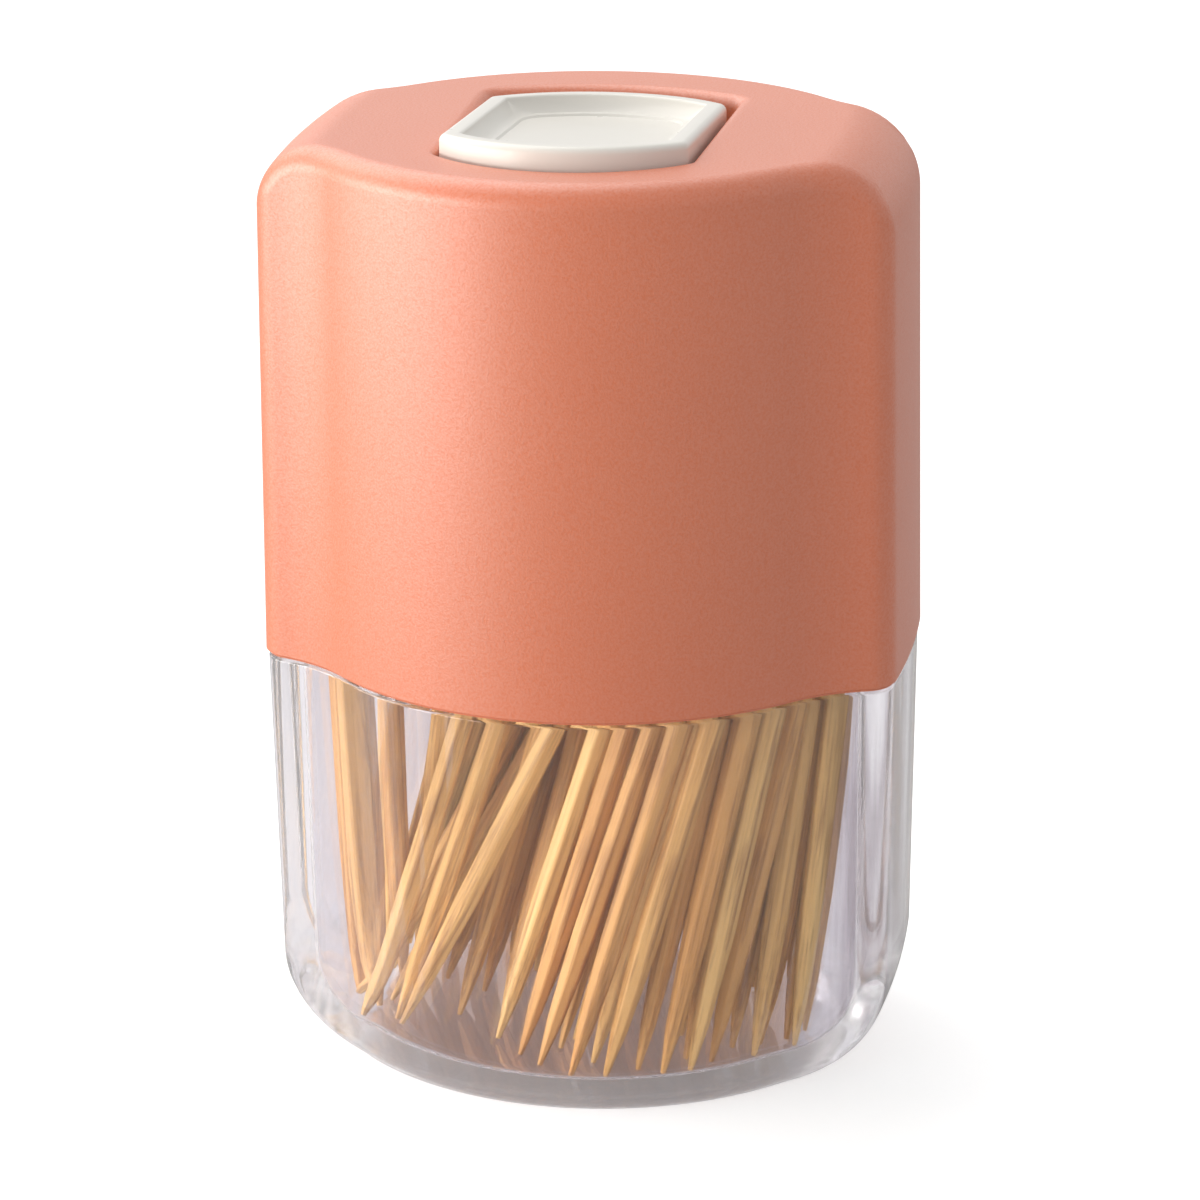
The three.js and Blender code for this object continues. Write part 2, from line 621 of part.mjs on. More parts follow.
// Hood: opaque moulding with the lid's pocket in its top, a collar around that and four screw bosses.
function hoodGeometry() {
  const outside = endRings({
    inset: 0,
    corner: HOOD_CORNER_RADIUS,
    edge: HOOD_EDGE_RADIUS,
    end: HEIGHT,
    sense: 1,
  });
  const inside = endRings({
    inset: HOOD_WALL,
    corner: HOOD_CORNER_RADIUS - HOOD_WALL,
    edge: HOOD_INNER_EDGE_RADIUS,
    end: HOOD_CEILING,
    sense: 1,
    fan: 1,
    across: 3,
  }).reverse();
  const shell = [
    ...inside,
    planRing(HOOD_WALL, SHOULDER_HEIGHT),
    planRing(HOOD_RIM_CHAMFER, SHOULDER_HEIGHT),
    planRing(0, SHOULDER_HEIGHT + HOOD_RIM_CHAMFER),
    ...outside,
  ].map((ring) => drafted(ring, HOOD_DRAFT, HEIGHT - SHOULDER_HEIGHT));
  const pocketRing = (inset, z) => ringAt(barrelOutline(pocketPlan, inset), z);
  const collar = loft([
    pocketRing(-COLLAR_WALL, COLLAR_END),
    pocketRing(-COLLAR_WALL, HOOD_TOP_MIDDLE),
  ]);
  const pocket = loft([
    pocketRing(0, COLLAR_END - CUT_OVERRUN),
    pocketRing(0, HEIGHT - POCKET_EDGE_BEVEL),
    pocketRing(-POCKET_EDGE_BEVEL, HEIGHT),
    pocketRing(-POCKET_EDGE_BEVEL, HEIGHT + CUT_OVERRUN),
  ]);
  let hood = solid(loft(shell)).add(solid(collar)).subtract(solid(pocket));
  const holeEnd = COLLAR_END + SCREW_GRIP + BOSS_HOLE_SPARE;
  for (const [x, y] of screwPlaces) {
    const boss = rod(BOSS_RADIUS, at(x, y, COLLAR_END), at(x, y, HOOD_TOP_MIDDLE));
    const hole = rod(
      SCREW_RADIUS + SCREW_CLEARANCE,
      at(x, y, COLLAR_END - CUT_OVERRUN),
      at(x, y, holeEnd),
    );
    hood = hood.add(solid(boss)).subtract(solid(hole));
  }
  return geometryOf(hood);
}

// The funnel's ring, grown by extra, at a share of the way up from its mouth to the outlet.
function funnelRing(share, extra, z) {
  const curve = new THREE.EllipseCurve(
    0,
    lerp(FUNNEL_MOUTH_Y, OUTLET_Y, share),
    lerp(FUNNEL_HALF_WIDTH, OUTLET_RADIUS, share) + extra,
    lerp(FUNNEL_HALF_DEPTH, OUTLET_RADIUS, share) + extra,
  );
  return ringAt(curve.getPoints(32).slice(0, -1), z);
}

// Inner frame: a deck under the pocket with the outlet, and below it the funnel, the well that the
// lid's rear swings into and the latch wire's bearing. Two posts on the deck carry the hinge pin.
function frameGeometry() {
  const deckLine = planOutline(HOOD_WALL + DECK_MARGIN).map(({ at: p }) => p);
  const deckPlate = new THREE.ExtrudeGeometry(new THREE.Shape(deckLine), {
    depth: DECK_THICKNESS,
    bevelEnabled: false,
  }).translate(0, 0, DECK_BOTTOM);
  const deckSides = boxBetween(
    [-DECK_HALF_WIDTH, DECK_HALF_WIDTH],
    [-BULGE_REACH, BULGE_REACH],
    [DECK_BOTTOM - CUT_OVERRUN, DECK_TOP + CUT_OVERRUN],
  );
  const deck = solid(deckPlate).intersect(solid(deckSides));
  const funnelOutside = loft([
    funnelRing(0, FUNNEL_WALL, FUNNEL_END),
    funnelRing(1, FUNNEL_WALL, DECK_BOTTOM),
    funnelRing(1, FUNNEL_WALL, DECK_MIDDLE),
  ]);
  const funnelInside = loft([
    funnelRing(-CUT_OVERRUN / FUNNEL_DEPTH, 0, FUNNEL_END - CUT_OVERRUN),
    funnelRing(1, 0, DECK_BOTTOM),
    funnelRing(1, 0, DECK_TOP + CUT_OVERRUN),
  ]);
  const wellX = LID_HALF_WIDTH + LID_CLEARANCE;
  const wellFrontY = HINGE_Y + WELL_FRONT;
  const wellFloor = DECK_BOTTOM - WELL_DEPTH;
  const wellShell = boxBetween(
    [-wellX - WELL_WALL, wellX + WELL_WALL],
    [wellFrontY - WELL_WALL, POCKET_REAR_Y + WELL_WALL],
    [wellFloor - WELL_WALL, DECK_MIDDLE],
  );
  const well = boxBetween(
    [-wellX, wellX],
    [wellFrontY, POCKET_REAR_Y],
    [wellFloor, DECK_TOP + CUT_OVERRUN],
  );
  const bearing = rod(
    BEARING_RADIUS,
    at(0, BEARING_FRONT_Y, WIRE_PIVOT_Z),
    at(0, FUNNEL_MOUTH_Y, WIRE_PIVOT_Z),
  );
  const bearingHole = rod(
    WIRE_RADIUS + BEARING_CLEARANCE,
    at(0, BEARING_FRONT_Y - CUT_OVERRUN, WIRE_PIVOT_Z),
    at(0, BEARING_FRONT_Y + WIRE_GRIP + SEAT_GAP, WIRE_PIVOT_Z),
    10,
  );
  const legSlot = boxBetween(
    [-LEG_HALF_WIDTH - SLOT_CLEARANCE, LEG_HALF_WIDTH + SLOT_CLEARANCE],
    [
      HINGE_Y - LEG_REACH - SLOT_CLEARANCE,
      HINGE_Y - LEG_FACE_DISTANCE + LEG_THICKNESS + SLOT_CLEARANCE,
    ],
    [DECK_BOTTOM - CUT_OVERRUN, DECK_TOP + CUT_OVERRUN],
  );
  let frame = deck
    .add(solid(funnelOutside))
    .add(solid(wellShell))
    .add(solid(bearing))
    .subtract(solid(funnelInside))
    .subtract(solid(well))
    .subtract(solid(bearingHole))
    .subtract(solid(legSlot));
  for (const side of [-1, 1]) {
    const near = side * POST_INNER_X;
    const far = side * (POST_INNER_X + POST_LENGTH);
    const post = boxBetween(
      [Math.min(near, far), Math.max(near, far)],
      [HINGE_Y - POST_RADIUS, HINGE_Y + POST_RADIUS],
      [DECK_MIDDLE, HINGE_Z],
    );
    const head = rod(POST_RADIUS, at(near, HINGE_Y, HINGE_Z), at(far, HINGE_Y, HINGE_Z), 24);
    frame = frame.add(solid(post)).add(solid(head));
  }
  const pinHole = rod(
    PIN_RADIUS + PIN_CLEARANCE,
    at(-KNUCKLE_X, HINGE_Y, HINGE_Z),
    at(KNUCKLE_X, HINGE_Y, HINGE_Z),
    24,
  );
  frame = frame.subtract(solid(pinHole));
  for (const [x, y] of screwPlaces) {
    const hole = rod(
      SCREW_RADIUS + SCREW_CLEARANCE,
      at(x, y, DECK_BOTTOM - CUT_OVERRUN),
      at(x, y, DECK_TOP + CUT_OVERRUN),
    );
    frame = frame.subtract(solid(hole));
  }
  return geometryOf(frame);
}

// The latch's heart and the track around it, standing on the leg's lower end and seen from the front.
function latchTrack() {
  const mirrored = (right) => [
    ...right,
    ...right.filter(([x]) => x > 0).map(([x, z]) => [-x, z]).reverse(),
  ];
  const prism = (right) => {
    const points = mirrored(right).map(([x, z]) => new THREE.Vector2(x, z));
    return new THREE.ExtrudeGeometry(new THREE.Shape(points), {
      depth: TRACK_DEPTH + CUT_OVERRUN,
      bevelEnabled: false,
    })
      .rotateX(Math.PI / 2)
      .translate(0, TRACK_DEPTH - LEG_FACE_DISTANCE, -LEG_DROP);
  };
  const slope = TRACK_HALF_WIDTH - TRACK_MOUTH_HALF_WIDTH;
  const track = prism([
    [TRACK_MOUTH_HALF_WIDTH, -CUT_OVERRUN],
    [TRACK_MOUTH_HALF_WIDTH, HEART_BASE - slope],
    [TRACK_HALF_WIDTH, HEART_BASE],
    [TRACK_HALF_WIDTH, TRACK_HEIGHT - slope],
    [TRACK_MOUTH_HALF_WIDTH, TRACK_HEIGHT],
  ]);
  const heartTop = HEART_BASE + HEART_HEIGHT;
  const heart = prism([
    [0, HEART_BASE],
    [HEART_HALF_WIDTH, HEART_BASE + HEART_HALF_WIDTH],
    [HEART_HALF_WIDTH, heartTop - HEART_NOTCH],
    [HEART_HALF_WIDTH / 2, heartTop],
    [0, heartTop - HEART_NOTCH],
  ]);
  return solid(track).subtract(solid(heart));
}

// Lid: a dish with a raised rim, measured from its hinge as it lies pressed flush.
function lidGeometry() {
  const ring = (inset, z) =>
    ringAt(barrelOutline(lidPlan, inset, HINGE_Y), z - HINGE_Z);
  const rimTurns = [0, 1 / 3, 2 / 3, 1];
  const outerEdge = rimTurns.map((share) => {
    const angle = (share * Math.PI) / 2;
    return ring(
      LID_RIM_ROUND * (1 - Math.cos(angle)),
      LID_TOP - LID_RIM_ROUND * (1 - Math.sin(angle)),
    );
  });
  const dishInset = LID_RIM + LID_DISH_SLOPE;
  const dishFloor = LID_TOP - LID_DISH_DEPTH;
  const shell = loft([
    ring(LID_WALL, LID_UNDERSIDE),
    ring(LID_WALL, LID_SKIRT_END),
    ring(0, LID_SKIRT_END),
    ...outerEdge,
    ring(LID_RIM - LID_RIM_INNER_ROUND, LID_TOP),
    ring(LID_RIM, LID_TOP - LID_RIM_INNER_ROUND),
    ring(dishInset, dishFloor),
    ring(dishInset + LID_STEP, dishFloor - LID_STEP),
  ]);
  const underside = LID_UNDERSIDE - HINGE_Z;
  const plateMiddle = underside + LID_FLOOR / 2;
  const legFace = -LEG_FACE_DISTANCE;
  const rearCut = boxBetween(
    [-HALF_WIDTH, HALF_WIDTH],
    [-LID_REAR_CUT, POCKET_REAR_Y],
    [-LID_SKIRT, LID_TOP - LID_REAR_SKIRT - HINGE_Z],
  );
  const leg = boxBetween(
    [-LEG_HALF_WIDTH, LEG_HALF_WIDTH],
    [legFace, legFace + LEG_THICKNESS],
    [-LEG_DROP, plateMiddle],
  );
  let lid = solid(shell)
    .subtract(solid(rearCut))
    .add(solid(leg).subtract(latchTrack()));
  for (const side of [-1, 1]) {
    const near = side * KNUCKLE_X;
    const far = side * KNUCKLE_END_X;
    const web = boxBetween(
      [Math.min(near, far), Math.max(near, far)],
      [-KNUCKLE_RADIUS, KNUCKLE_RADIUS],
      [0, plateMiddle],
    );
    const knuckle = rod(KNUCKLE_RADIUS, at(near, 0, 0), at(far, 0, 0), 24);
    const hole = rod(
      PIN_RADIUS + PIN_CLEARANCE,
      at(near - side * CUT_OVERRUN, 0, 0),
      at(far + side * CUT_OVERRUN, 0, 0),
      24,
    );
    lid = lid.add(solid(web)).add(solid(knuckle)).subtract(solid(hole));
  }
  return geometryOf(lid);
}

// The spring's coil, measured from the hinge: it starts above the pin and ends below it.
class Coil extends THREE.Curve {
  getPoint(share) {
    const angle = lerp(LID_REST_TILT, SPRING_TURNS * 2 * Math.PI, share);
    return at(
      SPRING_PITCH * SPRING_TURNS * (share - 0.5),
      SPRING_COIL_RADIUS * Math.sin(angle),
      SPRING_COIL_RADIUS * Math.cos(angle),
    );
  }
}

// Torsion spring: one leg under the lid's plate, the other on the deck.
function springGeometry() {
  const coil = new Coil();
  const start = coil.getPoint(0);
  const end = coil.getPoint(1);
  const lidLegEnd = at(
    start.x,
    start.y - SPRING_LID_LEG * Math.cos(LID_REST_TILT),
    start.z + SPRING_LID_LEG * Math.sin(LID_REST_TILT),
  );
  const path = new THREE.CurvePath();
  path.add(new THREE.LineCurve3(lidLegEnd, start));
  path.add(coil);
  path.add(new THREE.LineCurve3(end, at(end.x, end.y - SPRING_DECK_LEG, end.z)));
  return sweep(path, SPRING_WIRE_RADIUS, 56, 5);
}

// Latch wire: its lower end turns in the frame, and its tip rests in the notch of the lid's heart.
function latchWireGeometry() {
  const notchZ = HEART_BASE + HEART_HEIGHT - HEART_NOTCH - LEG_DROP;
  const tip = at(
    0,
    WIRE_TIP_REACH - LEG_FACE_DISTANCE,
    notchZ + WIRE_RADIUS + WIRE_SEAT,
  )
    .applyAxisAngle(at(1, 0, 0), -LID_REST_TILT)
    .add(at(0, HINGE_Y, HINGE_Z));
  return wireGeometry(
    [
      at(0, BEARING_FRONT_Y + WIRE_GRIP, WIRE_PIVOT_Z),
      at(0, WIRE_RUN_Y, WIRE_PIVOT_Z),
      at(0, WIRE_RUN_Y, tip.z),
      tip,
    ],
    WIRE_RADIUS,
    WIRE_BEND_RADIUS,
    24,
  );
}

// Pan-head screw, pointing up from the middle of its head's seat.
function screwGeometry() {
  const tipZ = SEAT_GAP + DECK_THICKNESS + SEAT_GAP + SCREW_GRIP;
  const profile = [
    [0, -SCREW_HEAD_HEIGHT],
    [SCREW_HEAD_RADIUS * SCREW_CROWN_SHARE, -SCREW_HEAD_HEIGHT],
    [SCREW_HEAD_RADIUS, -SCREW_HEAD_HEIGHT / 2],
    [SCREW_HEAD_RADIUS, 0],
    [SCREW_RADIUS, 0],
    [SCREW_RADIUS, tipZ - SCREW_TIP],
    [0, tipZ],
  ].map(([radius, height]) => new THREE.Vector2(radius, height));
  let screw = solid(new THREE.LatheGeometry(profile, 12).rotateX(Math.PI / 2));
  for (const [x, y] of [
    [SCREW_RECESS_LENGTH / 2, SCREW_RECESS_WIDTH / 2],
    [SCREW_RECESS_WIDTH / 2, SCREW_RECESS_LENGTH / 2],
  ]) {
    const recess = boxBetween(
      [-x, x],
      [-y, y],
      [-SCREW_HEAD_HEIGHT - CUT_OVERRUN, SCREW_RECESS_DEPTH - SCREW_HEAD_HEIGHT],
    );
    screw = screw.subtract(solid(recess));
  }
  return geometryOf(screw);
}

// Toothpick: a planed stick with a long taper and a blunt point at both ends, standing on its foot.
function pickProfile() {
  const end = [
    [0, 0],
    [PICK_POINT_RADIUS, 0],
    [PICK_RADIUS * PICK_POINT_SHARE, PICK_POINT_LENGTH],
    [PICK_RADIUS, PICK_TAPER_SHARE * PICK_LENGTH],
  ];
  const other = end.map(([radius, height]) => [radius, PICK_LENGTH - height]).reverse();
  return [...end, ...other];
}

function pickGeometry() {
  const profile = pickProfile().map(([r, h]) => new THREE.Vector2(r, h));
  return new THREE.LatheGeometry(profile, 6).rotateX(Math.PI / 2);
}

// A foot stands on the tub's floor, or higher up where the floor turns into the side walls.
function footHeight(x) {
  const turn = CAVITY_CORNER_RADIUS - PICK_FLOOR_GAP;
  const flat = HALF_WIDTH - CAVITY_INSET - CAVITY_CORNER_RADIUS;
  const over = clamp(Math.abs(x) - flat, 0, turn);
  return TUB_FLOOR + CAVITY_CORNER_RADIUS - Math.sqrt(turn ** 2 - over ** 2);
}

function picks() {
  const group = new THREE.Group();
  PICK_PITCH_SHARES.forEach((shares, i) => {
    const [footX, footY, topX, topY] = shares.map((share) => share * PICK_PITCH);
    const aside = topX - footX;
    const behind = topY - footY;
    const rise = Math.sqrt(PICK_LENGTH ** 2 - aside ** 2 - behind ** 2);
    const name = `toothpick_${String(i + 1).padStart(2, "0")}`;
    const pick = named(name, pickGeometry(), bamboo());
    pick.quaternion.setFromUnitVectors(
      at(0, 0, 1),
      at(aside, behind, rise).normalize(),
    );
    pick.position.set(footX, footY, footHeight(footX));
    group.add(pick);
  });
  return group;
}

// The whole dispenser, with its lid latched
const dispenser = new THREE.Group();
dispenser.add(named("tub", tubGeometry(), clearPlastic()));
dispenser.add(named("hood", hoodGeometry(), hoodPlastic()));
dispenser.add(named("inner_frame", frameGeometry(), framePlastic()));

const hinge = new THREE.Group();
hinge.position.set(0, HINGE_Y, HINGE_Z);
const lid = named("lid", lidGeometry(), lidPlastic());
lid.rotation.x = -LID_REST_TILT;
const pinGeometry = rod(PIN_RADIUS, at(-KNUCKLE_END_X, 0, 0), at(KNUCKLE_END_X, 0, 0), 24);
hinge.add(lid);
hinge.add(named("hinge_pin", pinGeometry, steel()));
hinge.add(named("lid_spring", springGeometry(), steel()));
dispenser.add(hinge);

dispenser.add(named("latch_wire", latchWireGeometry(), steel()));
screwPlaces.forEach(([x, y], i) => {
  const screw = named(`frame_screw_${i + 1}`, screwGeometry(), steel());
  screw.position.set(x, y, DECK_BOTTOM - SEAT_GAP);
  dispenser.add(screw);
});
dispenser.add(picks());

export default dispenser;
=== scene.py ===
import math

import bmesh
import bpy
import numpy as np
from mathutils import Matrix, Vector


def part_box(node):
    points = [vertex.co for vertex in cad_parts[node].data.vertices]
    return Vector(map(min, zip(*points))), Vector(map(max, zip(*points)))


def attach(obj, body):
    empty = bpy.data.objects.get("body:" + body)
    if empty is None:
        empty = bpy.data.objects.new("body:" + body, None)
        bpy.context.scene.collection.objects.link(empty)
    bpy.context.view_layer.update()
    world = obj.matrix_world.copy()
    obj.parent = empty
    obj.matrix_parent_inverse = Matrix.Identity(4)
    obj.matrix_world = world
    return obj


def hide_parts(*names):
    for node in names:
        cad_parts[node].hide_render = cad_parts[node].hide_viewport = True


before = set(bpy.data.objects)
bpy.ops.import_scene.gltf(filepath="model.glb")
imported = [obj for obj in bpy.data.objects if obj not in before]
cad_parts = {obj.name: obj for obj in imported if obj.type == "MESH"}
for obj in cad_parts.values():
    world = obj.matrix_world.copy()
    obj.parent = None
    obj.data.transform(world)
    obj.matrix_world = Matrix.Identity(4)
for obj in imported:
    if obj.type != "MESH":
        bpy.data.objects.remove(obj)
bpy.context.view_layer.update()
MM = 0.001  # sizes are given in millimetres, apart from the camera's and the lamps'

# Camera: it stands a little to the right of the front and looks down on the dispenser
# from arm's length, through a long lens that keeps the upright edges nearly parallel.
VIEW_AZIMUTH = math.radians(11.137)
VIEW_ELEVATION = math.radians(19.225)
VIEW_ROLL = math.radians(-0.617)
VIEW_DISTANCE = 0.43073  # metres, like the next two
AIM_ASIDE = 0.000442
AIM_HEIGHT = 0.04318
LENS = 134.23  # mm, on a sensor 36 mm wide

across = Vector((math.cos(VIEW_AZIMUTH), math.sin(VIEW_AZIMUTH), 0))
back = Vector(
    (
        math.sin(VIEW_AZIMUTH) * math.cos(VIEW_ELEVATION),
        -math.cos(VIEW_AZIMUTH) * math.cos(VIEW_ELEVATION),
        math.sin(VIEW_ELEVATION),
    )
)
above = back.cross(across)
aim = across * AIM_ASIDE + Vector((0, 0, AIM_HEIGHT))
right = across * math.cos(VIEW_ROLL) + above * math.sin(VIEW_ROLL)
upward = above * math.cos(VIEW_ROLL) - across * math.sin(VIEW_ROLL)
lens = bpy.data.cameras.new("camera")
lens.lens = LENS
lens.sensor_width = 36
camera = bpy.data.objects.new("camera", lens)
bpy.context.collection.objects.link(camera)
camera.matrix_world = (
    Matrix.Translation(aim + back * VIEW_DISTANCE)
    @ Matrix((right, upward, back)).transposed().to_4x4()
)
bpy.context.scene.camera = camera

# Tub: one clear styrene moulding with thick walls and a flat floor. Its plan has a
# round belly at the front and the back and a sloping ear at each side. A thinner neck
# stands up from its shoulder for the hood to slide over.
HALF_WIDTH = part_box("hood")[1].x / MM
BULGE_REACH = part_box("hood")[1].y / MM
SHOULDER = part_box("hood")[0].z / MM
BULGE_RADIUS = 29.9
EAR_CORNER_INSET = 1.5
EAR_HALF_DEPTH = 11.45
EAR_SLOPE = math.radians(17)
EAR_BLEND_RADIUS = 15.9
EAR_CORNER_RADIUS = 3.2
SIDE_RADIUS = 125
LEAST_CORNER = 0.9
PLAN_STEPS = (30, 14, 8, 8)  # along the belly, its blend, the ear's corner and the side
TINY = 1e-9  # keeps a division clear of zero
LEVEL_TURN = 1e-4  # a smaller turn than this is no turn
SHARP = math.radians(30)  # an edge that turns further than this stays crisp
SEAT_GAP = 0.25
TUB_SETBACK = 0.25
TUB_DRAFT = 0.55
TUB_CORNER = 9.1
TUB_EDGE = 2.5
TUB_FLOOR = 2.2
TUB_RINGS = (16, 32)  # over the rounded edge, then on to the middle
TUB_SHOULDER_ROUND = 0.2
NECK_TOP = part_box("tub")[1].z / MM
NECK_INSET = 2.35
NECK_ROUND = 0.4
CAVITY_INSET = 3.8
CAVITY_CORNER = 6.4
CAVITY_EDGE = 1.4
CAVITY_RINGS = (12, 24)
CAVITY_DRAFT = 0.35
FLOOR_WITHIN = 0.02  # a point this near the floor's height lies on it


def arc(x, y, radius, start, end, steps, sense=1):
    """Points on an arc and the way that each faces; sense is -1 along a hollow."""
    angles = np.linspace(start, end, steps + 1)
    facing = np.column_stack([np.cos(angles), np.sin(angles)])
    return np.hstack([np.array([x, y]) + radius * facing, facing * sense])


def all_round(quarter):
    """A quarter, from the front's middle to the right side's, mirrored all round."""

    def flipped(points, x, y):
        return (points * [x, y, x, y])[::-1]

    half = np.vstack([quarter, flipped(quarter, 1, -1)[1:]])
    return np.vstack([half, flipped(half, -1, 1)[1:-1]])


def circles_meet(first, first_radius, second, second_radius):
    """Where two circles meet, to the right of the way from the first to the second."""
    gap = np.linalg.norm(second - first)
    along = (second - first) / gap
    reach = (first_radius**2 - second_radius**2 + gap**2) / (2 * gap)
    aside = math.sqrt(first_radius**2 - reach**2)
    return first + along * reach + np.array([along[1], -along[0]]) * aside


def plan_outline(inset):
    """The outline from above, set in from the hood's: x, y and the way it faces."""
    bulge_y = BULGE_RADIUS - BULGE_REACH
    side_x = HALF_WIDTH - SIDE_RADIUS
    facing = np.array([math.sin(EAR_SLOPE), -math.cos(EAR_SLOPE)])
    inward = np.array([-math.cos(EAR_SLOPE), -math.sin(EAR_SLOPE)])
    start = np.array([HALF_WIDTH - EAR_CORNER_INSET, -EAR_HALF_DEPTH])
    start = start + facing * EAR_BLEND_RADIUS
    away = start - np.array([0, bulge_y])
    along = away @ inward
    reach = EAR_BLEND_RADIUS + BULGE_RADIUS
    blend_at = start - inward * (along + math.sqrt(along**2 - away @ away + reach**2))
    blend = EAR_BLEND_RADIUS + inset
    corner = max(EAR_CORNER_RADIUS - inset, LEAST_CORNER)
    side = SIDE_RADIUS - inset
    corner_at = circles_meet(
        blend_at, blend + corner, np.array([side_x, 0]), side - corner
    )
    bulge_end = math.atan2(blend_at[1] - bulge_y, blend_at[0])
    blend_end = math.atan2(*(corner_at - blend_at)[::-1])
    side_end = math.atan2(corner_at[1], corner_at[0] - side_x)
    quarter = [
        arc(0, bulge_y, BULGE_RADIUS - inset, -math.pi / 2, bulge_end, PLAN_STEPS[0]),
        arc(*blend_at, blend, bulge_end + math.pi, blend_end, PLAN_STEPS[1], -1)[1:],
        arc(*corner_at, corner, blend_end - math.pi, side_end, PLAN_STEPS[2])[1:],
        arc(side_x, 0, side, side_end, 0, PLAN_STEPS[3])[1:],
    ]
    return all_round(np.vstack(quarter))


def at_height(points, z):
    """A flat ring at a height."""
    return np.column_stack([points[:, :2], np.full(len(points), z)])


def plan_ring(inset, z):
    return at_height(plan_outline(inset), z)


def end_rings(inset, corner, edge, end, sense, fan, rows):
    """Rings over a closed end, from its wall to its flat middle.

    The end turns over the side walls with one radius, and a ball has rounded its edge.
    sense is 1 at the top and -1 at the bottom."""
    side_x = HALF_WIDTH - SIDE_RADIUS

    def past(points, most):
        away = np.column_stack([np.abs(points[:, 0]) - side_x, points[:, 1]])
        length = np.linalg.norm(away, axis=1)
        over = np.clip(length - (SIDE_RADIUS - inset - corner), 0, most)
        facing = away / length[:, None]
        facing[:, 0] *= np.sign(points[:, 0])
        return over, facing

    def drop(over, radius):
        return radius - np.sqrt(np.maximum(radius**2 - over**2, 0))

    line = plan_outline(inset + edge)
    over, side = past(line[:, :2], corner - edge)
    middle = at_height(line, 0)
    middle[:, 2] = edge + drop(over, corner - edge)
    lean = over / (corner - edge)
    sideways = np.column_stack([line[:, 2:], np.zeros(len(line))])
    endways = np.column_stack([side * lean[:, None], -np.sqrt(1 - lean**2)])
    turn = np.arccos(np.clip((sideways * endways).sum(1), -1, 1))[:, None]
    rings = []
    for share in np.linspace(0, 1, fan + 1):
        ray = np.sin((1 - share) * turn) * sideways + np.sin(share * turn) * endways
        ray = ray / np.maximum(np.sin(turn), TINY)
        ray = np.where(turn < LEVEL_TURN, sideways, ray)
        rings.append(middle + edge * ray)
    outer = rings[-1][:, :2]
    over = past(outer, corner)[0]
    turn = np.arcsin(over / corner)
    for left in np.linspace(1, 0, rows + 1)[1:]:
        stretch = np.maximum(edge / np.maximum(over, TINY), 1)
        run = (over - corner * np.sin(turn * left)) * stretch
        run = np.where(over > 0, run, edge * (1 - left))
        inner = outer * (1 - run / np.linalg.norm(outer, axis=1))[:, None]
        rings.append(np.column_stack([inner, drop(past(inner, corner)[0], corner)]))
    return [ring * [1, 1, -sense] + [0, 0, end] for ring in rings]


def drafted(ring, draft, height):
    """Narrows a ring with its distance from the shoulder, as the draft of a mould."""
    scale = 1 - (draft / HALF_WIDTH) * np.abs(ring[:, 2] - SHOULDER) / height
    return np.column_stack([ring[:, :2] * scale[:, None], ring[:, 2]])


def round_turn(start, end, steps=4):
    """A quarter round of (inset, height) pairs: it starts upright and ends flat."""
    turns = np.linspace(0, math.pi / 2, steps + 1)
    return [
        (
            start[0] + (end[0] - start[0]) * (1 - math.cos(turn)),
            start[1] + (end[1] - start[1]) * math.sin(turn),
        )
        for turn in turns
    ]


def linked(name, mesh):
    piece = bpy.data.objects.new(name, mesh)
    bpy.context.collection.objects.link(piece)
    return piece


def skinned(name, *shells):
    """One mesh of closed shells, each a list of rings in millimetres.

    A shell is capped at both ends, or closes on its first ring if that is its last.
    Neighbouring rings of unlike counts lie in one plane, and a flat fill joins them."""
    work = bmesh.new()
    for rings in shells:
        loop = rings[0] is rings[-1]
        rows = [
            [work.verts.new(Vector(p) * MM) for p in ring]
            for ring in (rings[:-1] if loop else rings)
        ]
        for low, high in zip(rows, rows[1:] + rows[:1] if loop else rows[1:]):
            if len(low) == len(high):
                for a, b, c, d in zip(
                    low, low[1:] + low[:1], high[1:] + high[:1], high
                ):
                    work.faces.new((a, b, c, d))
                continue
            edges = [
                work.edges.get(pair) or work.edges.new(pair)
                for row in (low, high)
                for pair in zip(row, row[1:] + row[:1])
            ]
            bmesh.ops.triangle_fill(work, use_beauty=True, edges=edges)
        if not loop:
            work.faces.new(rows[0])
            work.faces.new(rows[-1])
    bmesh.ops.recalc_face_normals(work, faces=work.faces)
    mesh = bpy.data.meshes.new(name)
    work.to_mesh(mesh)
    work.free()
    mesh.shade_smooth()
    mesh.set_sharp_from_angle(angle=SHARP)
    return linked(name, mesh)


class Amount:
    """A value inside a node tree. Sums and products of amounts add their Math nodes."""

    def __init__(self, graph, socket):
        self.graph, self.socket = graph, socket

    def maths(self, operation, first, second=0.0):
        return self.graph.node(
            "ShaderNodeMath", {"operation": operation}, {0: first, 1: second}
        )

    def __add__(self, other):
        return self.maths("ADD", self, other)

    def __sub__(self, other):
        return self.maths("SUBTRACT", self, other)

    def __rsub__(self, other):
        return self.maths("SUBTRACT", other, self)

    def __mul__(self, other):
        return self.maths("MULTIPLY", self, other)

    def wave(self):
        return self.maths("SINE", self)

    def over(self, other):
        return self.maths("MAXIMUM", self, other)


